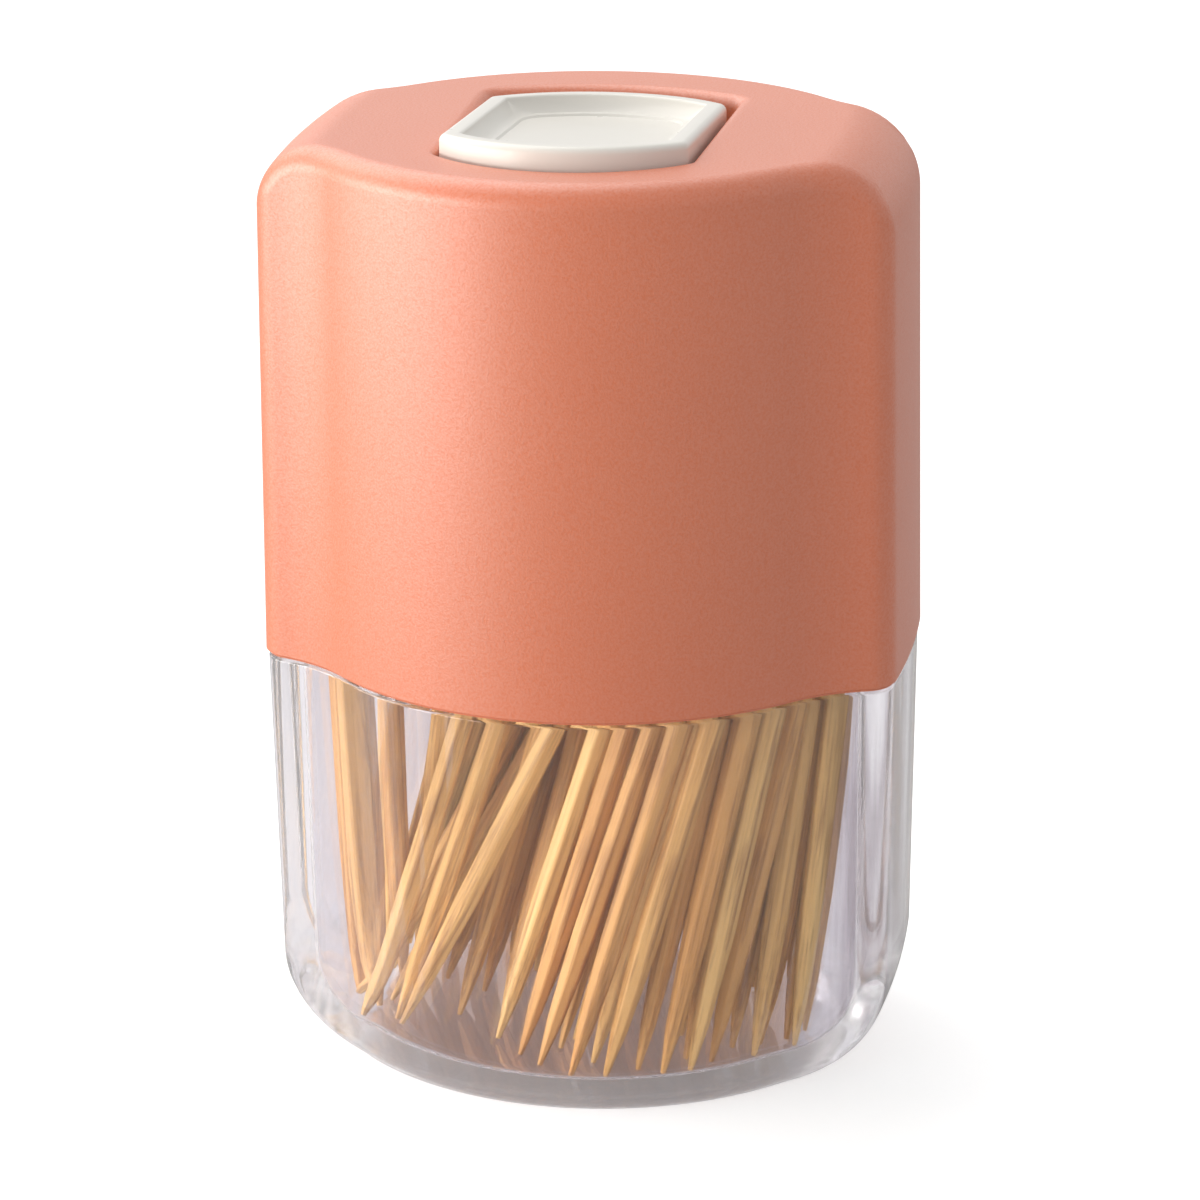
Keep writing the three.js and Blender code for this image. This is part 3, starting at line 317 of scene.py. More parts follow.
class Graph:
    """A node tree that is built from values and links."""

    def __init__(self, tree):
        self.tree = tree
        tree.nodes.clear()

    def node(self, kind, settings=None, values=None, out=0):
        """Adds a node: its settings first, then the values or links of its sockets."""
        made = self.tree.nodes.new(kind)
        for key, value in (settings or {}).items():
            setattr(made, key, value)
        for key, value in (values or {}).items():
            if isinstance(value, Amount):
                self.tree.links.new(value.socket, made.inputs[key])
            else:
                made.inputs[key].default_value = value
        return Amount(self, made.outputs[out]) if made.outputs else made

    def blend(self, share, first, second):
        """A mix of two colours."""
        return self.node(
            "ShaderNodeMix",
            {"data_type": "RGBA"},
            {"Factor": share, 6: first, 7: second},
            out=2,
        )

    def spread(self, share, low, high):
        """A share from 0 to 1 brought between two numbers."""
        return self.node(
            "ShaderNodeMapRange", {}, {"Value": share, "To Min": low, "To Max": high}
        )

    def noise(self, place, scale, detail=2.0, roughness=0.5):
        return self.node(
            "ShaderNodeTexNoise",
            {},
            {
                "Vector": place,
                "Scale": scale,
                "Detail": detail,
                "Roughness": roughness,
            },
        )

    def stretched(self, place, scale):
        return self.node(
            "ShaderNodeMapping", {}, {"Vector": place, "Scale": Vector(scale)}
        )

    def bump(self, height, strength, distance):
        return self.node(
            "ShaderNodeBump",
            {},
            {"Height": height, "Strength": strength, "Distance": distance},
        )


def finish(name):
    """A new material, the graph to fill and the object's own coordinates."""
    material = bpy.data.materials.new(name)
    material.use_nodes = True
    graph = Graph(material.node_tree)
    return material, graph, graph.node("ShaderNodeTexCoord", out="Object")


def shown(graph, surface):
    graph.node("ShaderNodeOutputMaterial", {}, {"Surface": surface})


def shade(code):
    """A screen colour, such as "e09274", in the linear light that a shader takes."""
    parts = [int(code[i : i + 2], 16) / 255 for i in (0, 2, 4)]
    linear = [
        c / 12.92 if c <= 0.04045 else ((c + 0.055) / 1.055) ** 2.4 for c in parts
    ]
    return (*linear, 1)


def painted(piece, material):
    piece.data.materials.clear()
    piece.data.materials.append(material)


def dressed(piece, material, body, slot, *nodes):
    painted(piece, material)
    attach(piece, body)
    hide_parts(*nodes)


TUB_SOLIDITY = 0.88
TUB_IOR = 1.16  # low, so that the thick walls don't distort what stands behind them
TUB_COAT_IOR = 1.48
FLOOR_SHEEN = 0.4  # how much of a mirror the tub's floor is
LIGHT_THROUGH = (0.88, 0.87, 0.88, 1)
FOOT_TOP = 3.4  # height of the bottom edge's band of painted shade and light
FOOT_FADE = 900  # per metre
FOOT_CLEAR = 0.25
FOOT_STRIPE = 0.22  # how much of that painted shade comes and goes in fine level lines
FOOT_LINES = 6800  # radians per metre
EAR_START = 21  # from the middle, where the painted shade streaks of the right ear begin
EAR_FADE = 110  # per metre
EAR_STREAK_FROM = 0.38
EAR_STREAK_CONTRAST = 5

clear_plastic, g, place = finish("clear_styrene")
handled = g.noise(place, 90, 3)
flow = g.noise(g.stretched(place, (1, 1, 0.25)), 160, 1)
inner_floor = g.node("ShaderNodeAttribute", {"attribute_name": "flat"}, {}, out="Fac")
x = g.node("ShaderNodeSeparateXYZ", {}, {"Vector": place}, out="X")
z = g.node("ShaderNodeSeparateXYZ", {}, {"Vector": place}, out="Z")
# The bottom edge's band is painted shade and light: a greyer lavender in fine level
# lines, and more see-through, for what the rounded edge does to the light.
foot = g.spread((FOOT_TOP * MM - z) * FOOT_FADE, 0, 1) * (1 - inner_floor)
foot = foot * ((z * FOOT_LINES).wave() * FOOT_STRIPE + FOOT_CLEAR)
# The right ear's grey streaks are painted shade, for the dimmer light that comes
# through the thick corner on that side only.
drawn = g.noise(g.stretched(place, (1, 1, 0.06)), 520, 3)
painted_shade_streaks = g.spread((drawn - EAR_STREAK_FROM) * EAR_STREAK_CONTRAST, 0, 1)
painted_ear_shade = g.spread((x - EAR_START * MM) * EAR_FADE, 0, 1) * painted_shade_streaks
walls = g.blend(handled, shade("e4e1e8"), shade("f0eef3"))
walls = g.blend(painted_ear_shade, walls, shade("8f828b"))
walls = g.blend(foot, walls, shade("a79bb0"))
clear = g.node(
    "ShaderNodeBsdfPrincipled",
    {},
    {
        # The inner floor's brownish grey is painted: a painted reflection of the
        # toothpicks and painted shade under them.
        "Base Color": g.blend(inner_floor, walls, shade("c49a80")),
        "Roughness": g.spread(handled, 0.01, 0.04),
        "IOR": TUB_IOR,
        "Transmission Weight": 1.0,
        "Metallic": inner_floor * FLOOR_SHEEN,
        "Coat Weight": 1.0,
        "Coat Roughness": 0.03,
        "Coat IOR": TUB_COAT_IOR,
        "Alpha": TUB_SOLIDITY - foot,
        "Normal": g.bump(flow, 0.04, 0.0004),
    },
)
light_through = g.node("ShaderNodeBsdfTransparent", {}, {"Color": LIGHT_THROUGH})
shown(
    g,
    g.node(
        "ShaderNodeMixShader",
        {},
        {
            0: g.node("ShaderNodeLightPath", out="Is Shadow Ray"),
            1: clear,
            2: light_through,
        },
    ),
)

tub_outside = [
    drafted(ring, TUB_DRAFT, SHOULDER)
    for ring in reversed(
        end_rings(TUB_SETBACK, TUB_CORNER, TUB_EDGE, 0, -1, *TUB_RINGS)
    )
]
tub_inside = [
    drafted(ring, CAVITY_DRAFT, SHOULDER)
    for ring in end_rings(
        CAVITY_INSET, CAVITY_CORNER, CAVITY_EDGE, TUB_FLOOR, -1, *CAVITY_RINGS
    )
]
seat = SHOULDER - SEAT_GAP
shoulder_turn = round_turn(
    (TUB_SETBACK, seat - TUB_SHOULDER_ROUND), (TUB_SETBACK + TUB_SHOULDER_ROUND, seat)
)
neck_turn = round_turn(
    (NECK_INSET, NECK_TOP - NECK_ROUND), (NECK_INSET + NECK_ROUND, NECK_TOP)
)
lip_turn = round_turn(
    (CAVITY_INSET, NECK_TOP - NECK_ROUND), (CAVITY_INSET - NECK_ROUND, NECK_TOP)
)
tub = skinned(
    "clear_tub",
    tub_outside
    + [plan_ring(*turn) for turn in shoulder_turn]
    + [plan_ring(NECK_INSET, seat)]
    + [plan_ring(*turn) for turn in neck_turn]
    + [plan_ring(*turn) for turn in reversed(lip_turn)]
    + tub_inside,
)
flat = tub.data.attributes.new("flat", "FLOAT", "POINT")
for index, vertex in enumerate(tub.data.vertices):
    flat.data[index].value = abs(vertex.co.z / MM - TUB_FLOOR) < FLOOR_WITHIN
dressed(tub, clear_plastic, "tub", "clear_plastic", "tub")

# Toothpicks: planed bamboo sticks with a long taper and a blunt point at both ends.
# They stand on the tub's floor and lean on each other and on the wall. Many stand where
# the solid model's do, and the others fill the room that these leave.
PICK_LENGTH = 65
PICK_RADIUS = 1.2
PICK_SIDES = 12
PICK_FLAT_SHARE = 0.62  # how far two corners draw together between the planed flats
PICK_SHAPE = [(0, 0.2), (0.0615, 0.62), (0.2, 1), (0.8, 1), (0.9385, 0.62), (1, 0.2)]
PICK_FOOT_GAP = 0.3
PICK_RINGS = 15
PICK_TIP = 1.5  # how much of each end is averaged to find a solid toothpick's middle
TURN_SEED = 7
TONE_SEED = 3
FIBRE = (1700, 4, 0.7)  # scale, detail and roughness of the noise
STREAK = (700, 2)
PATCH = (110, 2)
FIBRE_CONTRAST = 6.0
PATCH_CONTRAST = 1.2
MOST_DARK = 0.75
FURTHER_PICKS = [  # where the foot and the top stand in plan: x, y, x, y
    (-0.09, -11.97, 22.02, -2.44), (-1.52, -10.33, 15.41, -1.83),
    (-17.80, -9.96, 1.64, 0.27), (9.77, -9.39, 20.21, 1.65),
    (-12.27, -8.23, 4.93, 0.88), (-1.85, -7.80, 15.77, 1.27),
    (3.51, -6.27, 18.27, 1.40), (13.18, -6.08, 23.73, 2.70),
    (-4.76, -4.96, 13.55, 2.35), (11.59, -4.76, 18.21, 4.75),
    (19.18, -4.55, 23.56, 5.43), (2.92, -3.69, 16.27, 5.07),
    (-18.01, -2.23, 0.92, 5.66), (-0.69, -1.73, 11.41, 6.45),
    (15.97, -1.48, 21.05, 4.67), (-8.28, -0.69, 8.82, 5.42),
    (14.10, 1.20, 20.38, 6.95), (2.82, 1.61, 17.33, 6.81),
    (-7.07, 2.72, 9.43, 9.58), (-2.20, 2.98, 14.66, 8.03),
    (-18.29, 3.58, -4.55, 10.99), (-3.61, 4.79, 12.33, 11.06),
    (-10.28, 5.80, 4.16, 10.95), (-7.42, 5.86, 7.88, 11.60),
    (-13.69, 7.30, -2.59, 13.54), (4.71, 8.09, 12.18, 14.18),
    (-15.38, 8.76, -6.43, 14.51), (-2.39, 9.94, 10.39, 13.12),
    (-11.75, 11.41, -0.16, 14.19), (-18.35, 11.59, -14.50, 14.19),
    (-8.51, 12.32, 1.45, 15.98), (8.70, 12.59, 18.34, 14.20),
    (-0.59, 13.11, 9.31, 15.52), (3.92, 17.81, 10.93, 18.24),
    (-3.48, 19.51, 2.86, 19.65), (-20.30, -7.21, -23.26, -6.28),
    (-19.37, -2.54, -22.12, -0.31), (-18.54, -0.12, -10.30, -4.84),
    (-10.88, 16.63, -5.05, 19.82),
]


def pick_ends(node):
    """The middles of a solid toothpick's foot and top, in metres."""
    points = np.unique(
        np.round([v.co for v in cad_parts[node].data.vertices], 7), axis=0
    )
    lowest, highest = points[:, 2].min(), points[:, 2].max()
    foot = points[points[:, 2] < lowest + PICK_TIP * MM].mean(axis=0)
    return foot, points[points[:, 2] > highest - PICK_TIP * MM].mean(axis=0)


pick_nodes = sorted(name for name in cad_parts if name.startswith("toothpick"))
stands = [pick_ends(name) for name in pick_nodes]
for foot_x, foot_y, top_x, top_y in FURTHER_PICKS:
    turn = CAVITY_CORNER - PICK_FOOT_GAP
    over = max(abs(foot_x) - (HALF_WIDTH - CAVITY_INSET - CAVITY_CORNER), 0)
    low = TUB_FLOOR + CAVITY_CORNER - math.sqrt(turn**2 - over**2)
    rise = math.sqrt(PICK_LENGTH**2 - (top_x - foot_x) ** 2 - (top_y - foot_y) ** 2)
    foot = Vector((foot_x, foot_y, low))
    stands.append((foot * MM, Vector((top_x, top_y, low + rise)) * MM))

bamboo, g, place = finish("planed_bamboo")
tone = g.node("ShaderNodeAttribute", {"attribute_name": "tone"}, {}, out="Fac")
along = g.node("ShaderNodeAttribute", {"attribute_name": "grain"}, {}, out="Vector")
fibre = g.noise(g.stretched(along, (1, 1, 0.03)), *FIBRE)
streak = g.noise(g.stretched(along, (1, 1, 0.05)), *STREAK)
patch = g.noise(along, *PATCH)
pale = g.blend(streak, shade("fada92"), shade("ebb965"))
wood = g.blend(tone, pale, g.blend(streak, shade("e8b76c"), shade("c68640")))
dark = (fibre - 0.5) * FIBRE_CONTRAST + (patch - 0.5) * PATCH_CONTRAST
dark = g.spread(dark, 0, MOST_DARK)
shown(
    g,
    g.node(
        "ShaderNodeBsdfPrincipled",
        {},
        {
            "Base Color": g.blend(dark, wood, shade("8a5524")),
            "Roughness": g.spread(fibre, 0.48, 0.7),
            "Normal": g.bump(fibre, 0.5, 0.0001),
            "IOR": 1.45,
        },
    ),
)

points = bpy.data.meshes.new("pick_feet")
points.from_pydata([tuple(foot) for foot, _ in stands], [], [])
turns = points.attributes.new("turn", "FLOAT_VECTOR", "POINT")
random = np.random.default_rng(TURN_SEED)
for index, (foot, top) in enumerate(stands):
    lean = (Vector(top) - Vector(foot)).to_track_quat("Z", "Y")
    spin = Matrix.Rotation(random.uniform(0, math.tau), 4, "Z").to_quaternion()
    turns.data[index].vector = (lean @ spin).to_euler()[:]
toothpicks = linked("toothpicks", points)


def sized_tree(name, *sizes):
    """A new geometry tree with named inputs, as (name, kind, value)."""
    tree = bpy.data.node_groups.new(name, "GeometryNodeTree")

    def socket(label, way, kind):
        return tree.interface.new_socket(
            label, in_out=way, socket_type="NodeSocket" + kind
        )

    socket("Geometry", "INPUT", "Geometry")
    for label, kind, value in sizes:
        socket(label, "INPUT", kind).default_value = value
    socket("Geometry", "OUTPUT", "Geometry")
    graph = Graph(tree)
    given = tree.nodes.new("NodeGroupInput")
    sockets = {s.name: Amount(graph, s) for s in given.outputs if s.name}
    return tree, graph, sockets


def grown(piece, tree, graph, geometry):
    """Ends the tree, runs it on the piece and keeps the plain mesh that it makes."""
    graph.node("NodeGroupOutput", {}, {"Geometry": geometry})
    modifier = piece.modifiers.new(tree.name, "NODES")
    modifier.node_group = tree
    shaped = piece.evaluated_get(bpy.context.evaluated_depsgraph_get())
    mesh = bpy.data.meshes.new_from_object(shaped)
    piece.modifiers.clear()
    piece.data = mesh
    mesh.name = piece.name


tree, g, size = sized_tree(
    "standing_sticks",
    ("Length", "Float", PICK_LENGTH * MM),
    ("Radius", "Float", PICK_RADIUS * MM),
    ("Sides", "Int", PICK_SIDES),
    ("Rings", "Int", PICK_RINGS),
    ("Seed", "Int", TONE_SEED),
)
top = g.node("ShaderNodeCombineXYZ", {}, {"Z": size["Length"]})
line = g.node("GeometryNodeCurvePrimitiveLine", {}, {"End": top})
line = g.node("GeometryNodeResampleCurve", {}, {"Curve": line, "Count": size["Rings"]})
share = g.node("GeometryNodeSplineParameter", out="Factor")
taper = g.node("ShaderNodeFloatCurve", {}, {"Value": share})
curve = taper.socket.node.mapping.curves[0]
for place_on, height in PICK_SHAPE[1:-1]:
    curve.points.new(place_on, height)
curve.points[0].location = PICK_SHAPE[0]
curve.points[-1].location = PICK_SHAPE[-1]
for point in curve.points:
    point.handle_type = "VECTOR"
taper.socket.node.mapping.update()
line = g.node(
    "GeometryNodeSetCurveRadius", {}, {"Curve": line, "Radius": taper * size["Radius"]}
)
section = g.node(
    "GeometryNodeCurvePrimitiveCircle",
    {},
    {"Resolution": size["Sides"], "Radius": 1.0},
)
corner = g.node("GeometryNodeInputIndex")
pair = g.node("ShaderNodeMath", {"operation": "MODULO"}, {0: corner, 1: 2.0}) - 0.5
angle = pair * (PICK_FLAT_SHARE * math.tau / PICK_SIDES)
swung = g.node(
    "ShaderNodeVectorRotate",
    {"rotation_type": "Z_AXIS"},
    {"Vector": g.node("GeometryNodeInputPosition"), "Angle": angle},
)
section = g.node(
    "GeometryNodeSetPosition", {}, {"Geometry": section, "Position": swung}
)
stick = g.node(
    "GeometryNodeCurveToMesh",
    {},
    {
        "Curve": line,
        "Profile Curve": section,
        "Scale": g.node("GeometryNodeInputRadius"),
        "Fill Caps": True,
    },
)
stick = g.node(
    "GeometryNodeStoreNamedAttribute",
    {"data_type": "FLOAT_VECTOR"},
    {
        "Geometry": stick,
        "Name": "grain",
        "Value": g.node("GeometryNodeInputPosition"),
    },
)
stick = g.node(
    "GeometryNodeSetShadeSmooth", {}, {"Geometry": stick, "Shade Smooth": False}
)
turn = g.node(
    "GeometryNodeInputNamedAttribute", {"data_type": "FLOAT_VECTOR"}, {"Name": "turn"}
)
sticks = g.node(
    "GeometryNodeInstanceOnPoints",
    {},
    {"Points": size["Geometry"], "Instance": stick, "Rotation": turn},
)
tones = g.node(
    "FunctionNodeRandomValue", {"data_type": "FLOAT"}, {"Seed": size["Seed"]}, out=1
)
sticks = g.node(
    "GeometryNodeStoreNamedAttribute",
    {"data_type": "FLOAT", "domain": "INSTANCE"},
    {"Geometry": sticks, "Name": "tone", "Value": tones},
)
sticks = g.node("GeometryNodeRealizeInstances", {}, {"Geometry": sticks})
sticks = g.node(
    "GeometryNodeSetMaterial", {}, {"Geometry": sticks, "Material": bamboo}
)
grown(toothpicks, tree, g, sticks)
dressed(toothpicks, bamboo, "tub", "bamboo", *pick_nodes)

# Hood: an opaque moulding with a satin, finely grained skin. Its top turns over the two
# sides in one large round, and a pocket with soft edges takes the lid. A collar hangs
# below the pocket, and four bosses beside it take the screws of the inner frame.
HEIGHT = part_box("hood")[1].z / MM
HOOD_WALL = 2
HOOD_CORNER = 7
HOOD_EDGE = 2.3
HOOD_INNER_EDGE = 0.8
HOOD_DRAFT = 0.66
HOOD_RIM_ROUND = 0.35
HOOD_RINGS = (10, 26)
CEILING_RINGS = (3, 8)
TOP_FILL_SHARE = 0.985  # where the top's last ring stands on the way to its edge
LID_HALF_WIDTH = 11.5
LID_END_RADIUS = 15.7
LID_CENTRE_Y = -2.5
LID_CORNER = 1.3
LID_CLEARANCE = 0.4
POCKET_REAR_Y = 15.6
POCKET_REAR_RADIUS = 25.1
POCKET_CORNER = 1.6
POCKET_FRONT_ROUND = 0.5
POCKET_REAR_ROUND = 1.3
POCKET_EDGE_RINGS = 9
POCKET_GUARD = 0.4  # a ring this far outside the soft edge keeps its shading clean
SOFTER_FROM_Y = -4  # the pocket's edge grows softer from here to the rear
SOFTER_OVER = 14
BARREL_STEPS = (24, 8)  # along a bowed end and round a corner
COLLAR_WALL = 1.2
COLLAR_END = 83.3
CEILING = HEIGHT - HOOD_WALL
SCREW_X = 17.3
SCREW_Y = 10.5
BOSS_RADIUS = 2.6
BOSS_HOLE = 1.05
BOSS_HOLE_DEPTH = 4.5


def barrel_outline(plan, inset):
    """The lid's or pocket's outline: straight sides, bowed ends and round corners."""
    half_width, front, rear, corner = plan
    x = half_width - inset
    rounding = max(corner - inset, corner * 0.25)

    def quarter(y, radius):
        middle, bow = y + radius, radius - inset
        corner_x = x - rounding
        corner_y = middle - math.sqrt((bow - rounding) ** 2 - corner_x**2)
        meet = math.atan2(corner_y - middle, corner_x)
        return np.vstack(
            [
                arc(0, middle, bow, -math.pi / 2, meet, BARREL_STEPS[0]),
                arc(corner_x, corner_y, rounding, meet, 0, BARREL_STEPS[1])[1:],
            ]
        )[:, :2]

    near, far = quarter(*front), quarter(*rear)
    return np.vstack(
        [
            near,
            (far * [1, -1])[::-1],
            (far * [-1, -1])[1:],
            (near * [-1, 1])[::-1][:-1],
        ]
    )


def disc(x, y, radius, z, sides=32):
    turn = np.linspace(0, math.tau, sides, endpoint=False)
    return np.column_stack(
        [x + radius * np.cos(turn), y + radius * np.sin(turn), np.full(sides, z)]
    )


lid_plan = (
    LID_HALF_WIDTH,
    (LID_CENTRE_Y - LID_END_RADIUS, LID_END_RADIUS),
    (-LID_CENTRE_Y - LID_END_RADIUS, LID_END_RADIUS),
    LID_CORNER,
)
pocket_plan = (
    LID_HALF_WIDTH + LID_CLEARANCE,
    (LID_CENTRE_Y - LID_END_RADIUS - LID_CLEARANCE, LID_END_RADIUS + LID_CLEARANCE),
    (-POCKET_REAR_Y, POCKET_REAR_RADIUS),
    POCKET_CORNER,
)

HOOD_COAT_IOR = 2.15  # high and rough: the satin skin's broad, whitish sheen
SPECKLE = 3.5  # contrast of the sheen between the grains

hood_plastic, g, place = finish("satin_hood_plastic")
grain = g.noise(place, 4300, 3, 0.6)
cloud = g.noise(place, 55, 3)
shown(
    g,
    g.node(
        "ShaderNodeBsdfPrincipled",
        {},
        {
            "Base Color": g.blend(cloud, shade("d4632a"), shade("d86a33")),
            "Coat Weight": g.spread((grain - 0.5) * SPECKLE + 0.6, 0.55, 1),
            "Coat Roughness": 0.5,
            "Coat IOR": HOOD_COAT_IOR,
            "Roughness": g.spread(grain, 0.36, 0.52),
            "Normal": g.bump(grain, 0.6, 0.0001),
            "IOR": 1.5,
        },
    ),
)

hood_outside = [
    drafted(ring, HOOD_DRAFT, HEIGHT - SHOULDER)
    for ring in end_rings(0, HOOD_CORNER, HOOD_EDGE, HEIGHT, 1, *HOOD_RINGS)
]
hood_inside = [
    drafted(ring, HOOD_DRAFT, HEIGHT - SHOULDER)
    for ring in end_rings(
        HOOD_WALL,
        HOOD_CORNER - HOOD_WALL,
        HOOD_INNER_EDGE,
        CEILING,
        1,
        *CEILING_RINGS,
    )
]
rim_turn = round_turn((HOOD_RIM_ROUND, SHOULDER), (0, SHOULDER + HOOD_RIM_ROUND))
flat_edge = hood_outside[-1] * [TOP_FILL_SHARE, TOP_FILL_SHARE, 1]
pocket_wall = barrel_outline(pocket_plan, 0)
pocket_soft = barrel_outline(pocket_plan, -1)
outward = pocket_soft - pocket_wall
rearward = np.clip((pocket_wall[:, 1] - SOFTER_FROM_Y) / SOFTER_OVER, 0, 1)
rearward = rearward * rearward * (3 - 2 * rearward)
softness = POCKET_FRONT_ROUND + (POCKET_REAR_ROUND - POCKET_FRONT_ROUND) * rearward


def pocket_edge(turn):
    """The pocket's edge as it turns from its wall (0) to the hood's top (1)."""
    out = softness * (1 - math.cos(turn * math.pi / 2))
    down = softness * (1 - math.sin(turn * math.pi / 2))
    return np.column_stack([pocket_wall + outward * out[:, None], HEIGHT - down])


pocket_edges = [pocket_edge(turn) for turn in np.linspace(1, 0, POCKET_EDGE_RINGS)]
pocket_guard = pocket_edge(1)
pocket_guard[:, :2] += outward * POCKET_GUARD
pocket_foot = at_height(pocket_wall, COLLAR_END)
collar_foot = at_height(barrel_outline(pocket_plan, -COLLAR_WALL), COLLAR_END)
collar_top = collar_foot + [0, 0, CEILING - COLLAR_END]
hood_shell = (
    [at_height(plan_outline(HOOD_RIM_ROUND), SHOULDER)]
    + [plan_ring(*turn) for turn in rim_turn[1:]]
    + hood_outside
    + [flat_edge, pocket_guard]
    + pocket_edges
    + [pocket_foot, collar_foot, collar_top]
    + hood_inside[::-1]
    + [plan_ring(HOOD_WALL, SHOULDER)]
)
bosses = [
    [
        disc(x, y, BOSS_HOLE, COLLAR_END + BOSS_HOLE_DEPTH),
        disc(x, y, BOSS_HOLE, COLLAR_END),
        disc(x, y, BOSS_RADIUS, COLLAR_END),
        disc(x, y, BOSS_RADIUS, CEILING + HOOD_WALL / 2),
    ]
    for x in (-SCREW_X, SCREW_X)
    for y in (-SCREW_Y, SCREW_Y)
]
hood = skinned("satin_hood", hood_shell + hood_shell[:1], *bosses)
dressed(hood, hood_plastic, "cover", "hood_plastic", "hood")

# Lid: a warm white moulding that fills the pocket. A raised rim runs round a shallow
# dish for the fingertip, and below hang a skirt, two hinge knuckles and a leg with the
# latch's heart-shaped track. It lies latched with its front a little proud of the hood.
LID_TOP = 90.5
LID_SKIRT_END = 83.3
LID_UNDERSIDE = 87.3
LID_WALL = 1.6
LID_RIM = 2
LID_RIM_ROUND = 0.7
LID_RIM_INNER_ROUND = 0.3
LID_DISH_DEPTH = 1.6
LID_DISH_SLOPE = 1.2
LID_FLOOR_ROUND = 0.5
LID_FLOOR_CORNER = 3.2
LID_STEP = 0.2
LID_STEP_EDGE = 2
LID_DISH = [  # rings down the dish's slope: inset from its edge, rise and corner
    (-LID_FLOOR_ROUND, 0.35, 2.2),
    (-0.1, 0.06, 2.8),
    (LID_FLOOR_ROUND, 0, LID_FLOOR_CORNER),
    (LID_FLOOR_ROUND + LID_STEP, -LID_STEP, LID_FLOOR_CORNER),
    (LID_STEP_EDGE, -LID_STEP, LID_FLOOR_CORNER),
]
LID_ROOT = 0.5  # how far the leg and the knuckles reach into the lid
CUT_REACH = 20  # well past the lid's sides
LID_REAR_SKIRT = 3.4
LID_REAR_CUT = 1
LID_REST_TILT = math.radians(3.5)
HINGE = Vector((0, 6.4, 85.2))
KNUCKLE_X = 5.45
KNUCKLE_LENGTH = 3
KNUCKLE_RADIUS = 1.9
PIN_HOLE = 1.02
LEG_HALF_WIDTH = 3.2
LEG_FACE_Y = -21.6  # from the hinge
LEG_THICKNESS = 2
LEG_DROP = 11.5
TRACK_DEPTH = 0.8
# The right half of the track and of the heart in it: x, and height over the leg's end.
TRACK = [(1, -1), (1, 0.7), (2.5, 2.2), (2.5, 6.3), (1, 7.8)]
HEART = [(0, 2.2), (1.35, 3.55), (1.35, 4.8), (0.675, 5.6), (0, 4.8)]
SAME_PLACE = 1e-7  # metres between points that a cut has doubled
SAME_WAY = math.radians(0.05)


def lid_ring(inset, z, corner=None):
    plan = lid_plan if corner is None else lid_plan[:3] + (corner + inset,)
    return at_height(barrel_outline(plan, inset), z)


def box_rings(x, y, z):
    corners = [(x[0], y[0]), (x[1], y[0]), (x[1], y[1]), (x[0], y[1])]
    return [np.array([(*corner, height) for corner in corners]) for height in z]


def cut(piece, tool, operation):
    """Cuts a piece with a tool, or joins the tool to it, and tidies the new mesh."""
    modifier = piece.modifiers.new("cut", "BOOLEAN")
    modifier.operation, modifier.object, modifier.solver = operation, tool, "EXACT"
    shaped = piece.evaluated_get(bpy.context.evaluated_depsgraph_get())
    mesh = bpy.data.meshes.new_from_object(shaped)
    piece.modifiers.clear()
    work = bmesh.new()
    work.from_mesh(mesh)
    bmesh.ops.remove_doubles(work, verts=work.verts, dist=SAME_PLACE)
    bmesh.ops.dissolve_limit(
        work, angle_limit=SAME_WAY, verts=work.verts, edges=work.edges
    )
    work.to_mesh(mesh)
    work.free()
    piece.data = mesh
    bpy.data.objects.remove(tool)


def leg_prism(name, right, ahead, depth):
    """A prism that stands ahead of the leg's front face and reaches into it."""
    half = np.array(right, dtype=float)
    outline = np.vstack([half, (half[half[:, 0] > 0] * [-1, 1])[::-1]])
    face = HINGE.y + LEG_FACE_Y
    low = HINGE.z - LEG_DROP
    return skinned(
        name,
        [
            np.column_stack(
                [outline[:, 0], np.full(len(outline), y), outline[:, 1] + low]
            )
            for y in (face - ahead, face + depth)
        ],
    )


dish_inset = LID_RIM + LID_DISH_SLOPE
dish_floor = LID_TOP - LID_DISH_DEPTH
outer_turn = round_turn((0, LID_TOP - LID_RIM_ROUND), (LID_RIM_ROUND, LID_TOP), 8)
inner_turn = round_turn(
    (LID_RIM, LID_TOP - LID_RIM_INNER_ROUND),
    (LID_RIM - LID_RIM_INNER_ROUND, LID_TOP),
    5,
)[::-1]
lid = skinned(
    "white_lid",
    [
        lid_ring(LID_WALL, LID_UNDERSIDE),
        lid_ring(LID_WALL, LID_SKIRT_END),
        lid_ring(0, LID_SKIRT_END),
        *[lid_ring(*turn) for turn in outer_turn],
        *[lid_ring(*turn) for turn in inner_turn],
        *[
            lid_ring(dish_inset + inset, dish_floor + rise, corner)
            for inset, rise, corner in LID_DISH
        ],
    ],
)
cut(
    lid,
    skinned(
        "rear_cut",
        box_rings(
            (-CUT_REACH, CUT_REACH),
            (HINGE.y - LID_REAR_CUT, CUT_REACH),
            (LID_SKIRT_END - 2, LID_TOP - LID_REAR_SKIRT),
        ),
    ),
    "DIFFERENCE",
)
cut(
    lid,
    skinned(
        "leg",
        box_rings(
            (-LEG_HALF_WIDTH, LEG_HALF_WIDTH),
            (HINGE.y + LEG_FACE_Y, HINGE.y + LEG_FACE_Y + LEG_THICKNESS),
            (HINGE.z - LEG_DROP, LID_UNDERSIDE + LID_ROOT),
        ),
    ),
    "UNION",
)
track = leg_prism("track", TRACK, 1, TRACK_DEPTH)
cut(track, leg_prism("heart", HEART, 2, TRACK_DEPTH + 1), "DIFFERENCE")
cut(lid, track, "DIFFERENCE")
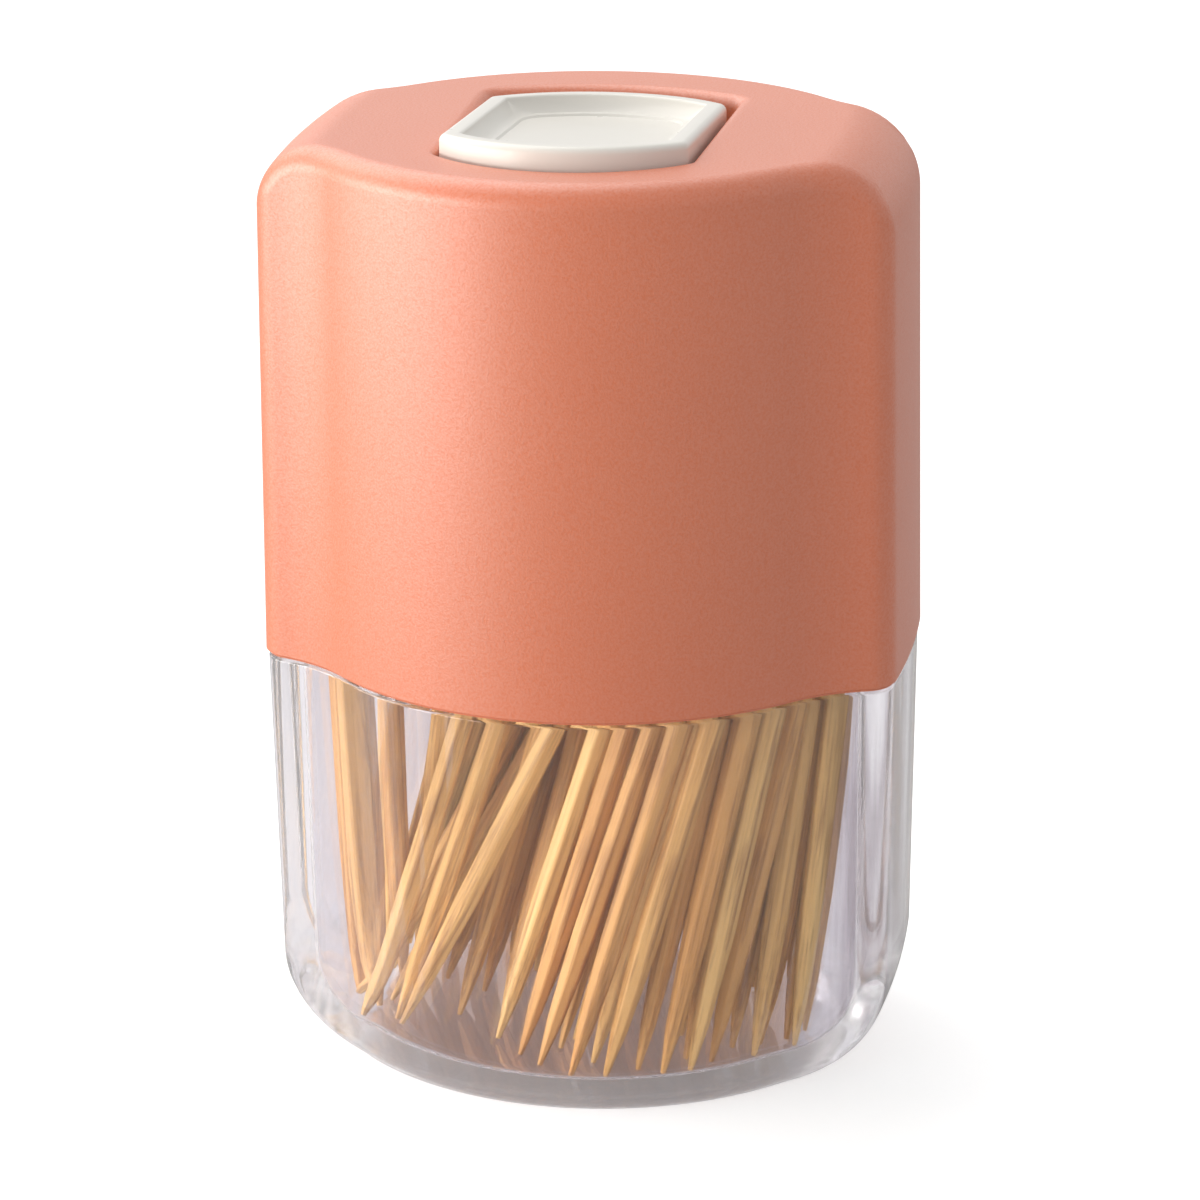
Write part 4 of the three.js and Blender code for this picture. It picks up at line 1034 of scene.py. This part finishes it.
for side in (-1, 1):
    turn = np.linspace(0, math.pi, 21)
    profile = np.vstack(
        [
            np.column_stack([np.cos(turn), -np.sin(turn)]) * KNUCKLE_RADIUS,
            [(-KNUCKLE_RADIUS, LID_UNDERSIDE + LID_ROOT - HINGE.z)],
            [(KNUCKLE_RADIUS, LID_UNDERSIDE + LID_ROOT - HINGE.z)],
        ]
    )
    knuckle = [
        np.column_stack([np.full(len(profile), side * x), profile + [HINGE.y, HINGE.z]])
        for x in (KNUCKLE_X, KNUCKLE_X + KNUCKLE_LENGTH)
    ]
    hole = [
        disc(0, 0, PIN_HOLE, side * x)[:, [2, 0, 1]] + [0, HINGE.y, HINGE.z]
        for x in (KNUCKLE_X - 1, KNUCKLE_X + KNUCKLE_LENGTH + 1)
    ]
    cut(lid, skinned("knuckle", knuckle), "UNION")
    cut(lid, skinned("pin_hole", hole), "DIFFERENCE")

lid_plastic, g, place = finish("white_lid_plastic")
sheen = g.noise(place, 400, 3)
soft = g.noise(place, 60, 2)
shown(
    g,
    g.node(
        "ShaderNodeBsdfPrincipled",
        {},
        {
            "Base Color": g.blend(soft, shade("ebe6dd"), shade("efebe3")),
            "Roughness": g.spread(sheen, 0.24, 0.36),
            "Normal": g.bump(sheen, 0.05, 0.0001),
            "IOR": 1.5,
        },
    ),
)
lid.data.transform(
    Matrix.Translation(HINGE * MM)
    @ Matrix.Rotation(-LID_REST_TILT, 4, "X")
    @ Matrix.Translation(-HINGE * MM)
)
lid.data.shade_smooth()
lid.data.set_sharp_from_angle(angle=SHARP)
dressed(lid, lid_plastic, "lid", "lid_plastic", "lid")

# Inner frame: a white moulding screwed under the hood. It has the outlet, its funnel,
# the well that the lid's rear swings into, the hinge posts and the latch wire's
# bearing. The solid model's own piece stays, with a matt moulded finish.
frame_plastic, g, place = finish("matt_frame_plastic")
matt = g.noise(place, 900, 3)
shown(
    g,
    g.node(
        "ShaderNodeBsdfPrincipled",
        {},
        {
            "Base Color": g.blend(matt, shade("eeeae1"), shade("f3efe7")),
            "Roughness": g.spread(matt, 0.4, 0.55),
            "Normal": g.bump(matt, 0.1, 0.00006),
        },
    ),
)
painted(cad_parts["inner_frame"], frame_plastic)

# Steel parts: the ground hinge pin, the torsion spring, the latch wire and four
# pan-head screws. The solid model's own pieces stay, in drawn steel with fine marks.
drawn_steel, g, place = finish("drawn_steel")
marks = g.noise(g.stretched(place, (0.1, 1, 1)), 4000, 2)
shown(
    g,
    g.node(
        "ShaderNodeBsdfPrincipled",
        {},
        {
            "Base Color": g.blend(marks, shade("b4b7bb"), shade("cfd1d4")),
            "Metallic": 1.0,
            "Roughness": g.spread(marks, 0.18, 0.34),
        },
    ),
)
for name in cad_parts:
    if name.startswith(("hinge_pin", "lid_spring", "latch_wire", "frame_screw")):
        painted(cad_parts[name], drawn_steel)

# Studio: a plain pale floor under soft light. A broad lamp stands high behind the left
# side, and a long soft box low at the front left draws the sheen on the hood. The pale
# room fills the shadows, and the camera sees it as pure white.
KEY_WAY = (0.55, -0.35, -0.8)  # the way that the key light travels
KEY_STRENGTH = 2.0
KEY_SPREAD = math.radians(65)
KEY_COLOUR = (1, 0.985, 0.96)
BOX_AT = (-0.57, -0.29, 0.1)
BOX_AIM = (0, 0, 0.05)
BOX_SIZE = (0.7, 0.2)
BOX_POWER = 3.9
BOX_COLOUR = (1, 0.965, 0.91)
ROOM_COLOUR = (0.96, 0.98, 1, 1)
ROOM_LIGHT = 0.5
ROOM_SHINE = 0.72  # how bright the room is in reflections
WHITE = (1, 1, 1, 1)
FLOOR_SIZE = 6
FLOOR_DROP = 0.0001  # keeps the floor clear of the tub's flat bottom
FLOOR_WHITE = 0.68
FLOOR_SHINE = 0.7  # how bright the floor is in reflections
FLOOR_LIFT = 0.57  # brings the floor up to white for the camera and through the tub

world = bpy.data.worlds.new("white_room")
bpy.context.scene.world = world
world.use_nodes = True
g = Graph(world.node_tree)
room = g.node(
    "ShaderNodeBackground", {}, {"Color": ROOM_COLOUR, "Strength": ROOM_LIGHT}
)
seen = g.node("ShaderNodeBackground", {}, {"Color": WHITE, "Strength": 1.0})
straight = g.node("ShaderNodeLightPath", out="Is Camera Ray")
glossy = g.node("ShaderNodeLightPath", out="Is Glossy Ray")
through = g.node("ShaderNodeLightPath", out="Is Transmission Ray")
g.node(
    "ShaderNodeOutputWorld",
    {},
    {
        "Surface": g.node(
            "ShaderNodeMixShader",
            {},
            {0: straight.over(through).over(glossy * ROOM_SHINE), 1: room, 2: seen},
        )
    },
)

key = bpy.data.lights.new("key", "SUN")
key.energy = KEY_STRENGTH
key.angle = KEY_SPREAD
key.color = KEY_COLOUR
key_lamp = linked("key", key)
key_lamp.rotation_euler = Vector(KEY_WAY).to_track_quat("-Z", "Y").to_euler()
box = bpy.data.lights.new("soft_box", "AREA")
box.shape = "RECTANGLE"
box.size, box.size_y = BOX_SIZE
box.energy = BOX_POWER
box.color = BOX_COLOUR
box_lamp = linked("soft_box", box)
box_lamp.location = BOX_AT
box_lamp.rotation_euler = (
    (Vector(BOX_AIM) - Vector(BOX_AT)).to_track_quat("-Z", "Y").to_euler()
)

floor_white, g, place = finish("white_floor")
glossy = g.node("ShaderNodeLightPath", out="Is Glossy Ray")
white = g.blend(
    g.noise(place, 30), (FLOOR_WHITE,) * 3 + (1,), (FLOOR_WHITE + 0.01,) * 3 + (1,)
)
dimmed = (FLOOR_WHITE * FLOOR_SHINE,) * 3 + (1,)
tint = g.blend(glossy, white, dimmed)
plain = g.node("ShaderNodeBsdfDiffuse", {}, {"Color": tint})
lift = g.node("ShaderNodeEmission", {}, {"Color": WHITE, "Strength": FLOOR_LIFT})
straight = g.node("ShaderNodeLightPath", out="Is Camera Ray")
through = g.node("ShaderNodeLightPath", out="Is Transmission Ray")
lifted = g.node("ShaderNodeAddShader", {}, {0: plain, 1: lift})
shown(
    g,
    g.node(
        "ShaderNodeMixShader",
        {},
        {0: straight.over(through), 1: plain, 2: lifted},
    ),
)
floor_mesh = bpy.data.meshes.new("floor")
half = FLOOR_SIZE / 2
floor_mesh.from_pydata(
    [(-half, -half, 0), (half, -half, 0), (half, half, 0), (-half, half, 0)],
    [],
    [(0, 1, 2, 3)],
)
floor = linked("floor", floor_mesh)
floor.location.z = -FLOOR_DROP
floor_mesh.materials.append(floor_white)

bpy.context.scene.view_settings.view_transform = "Standard"
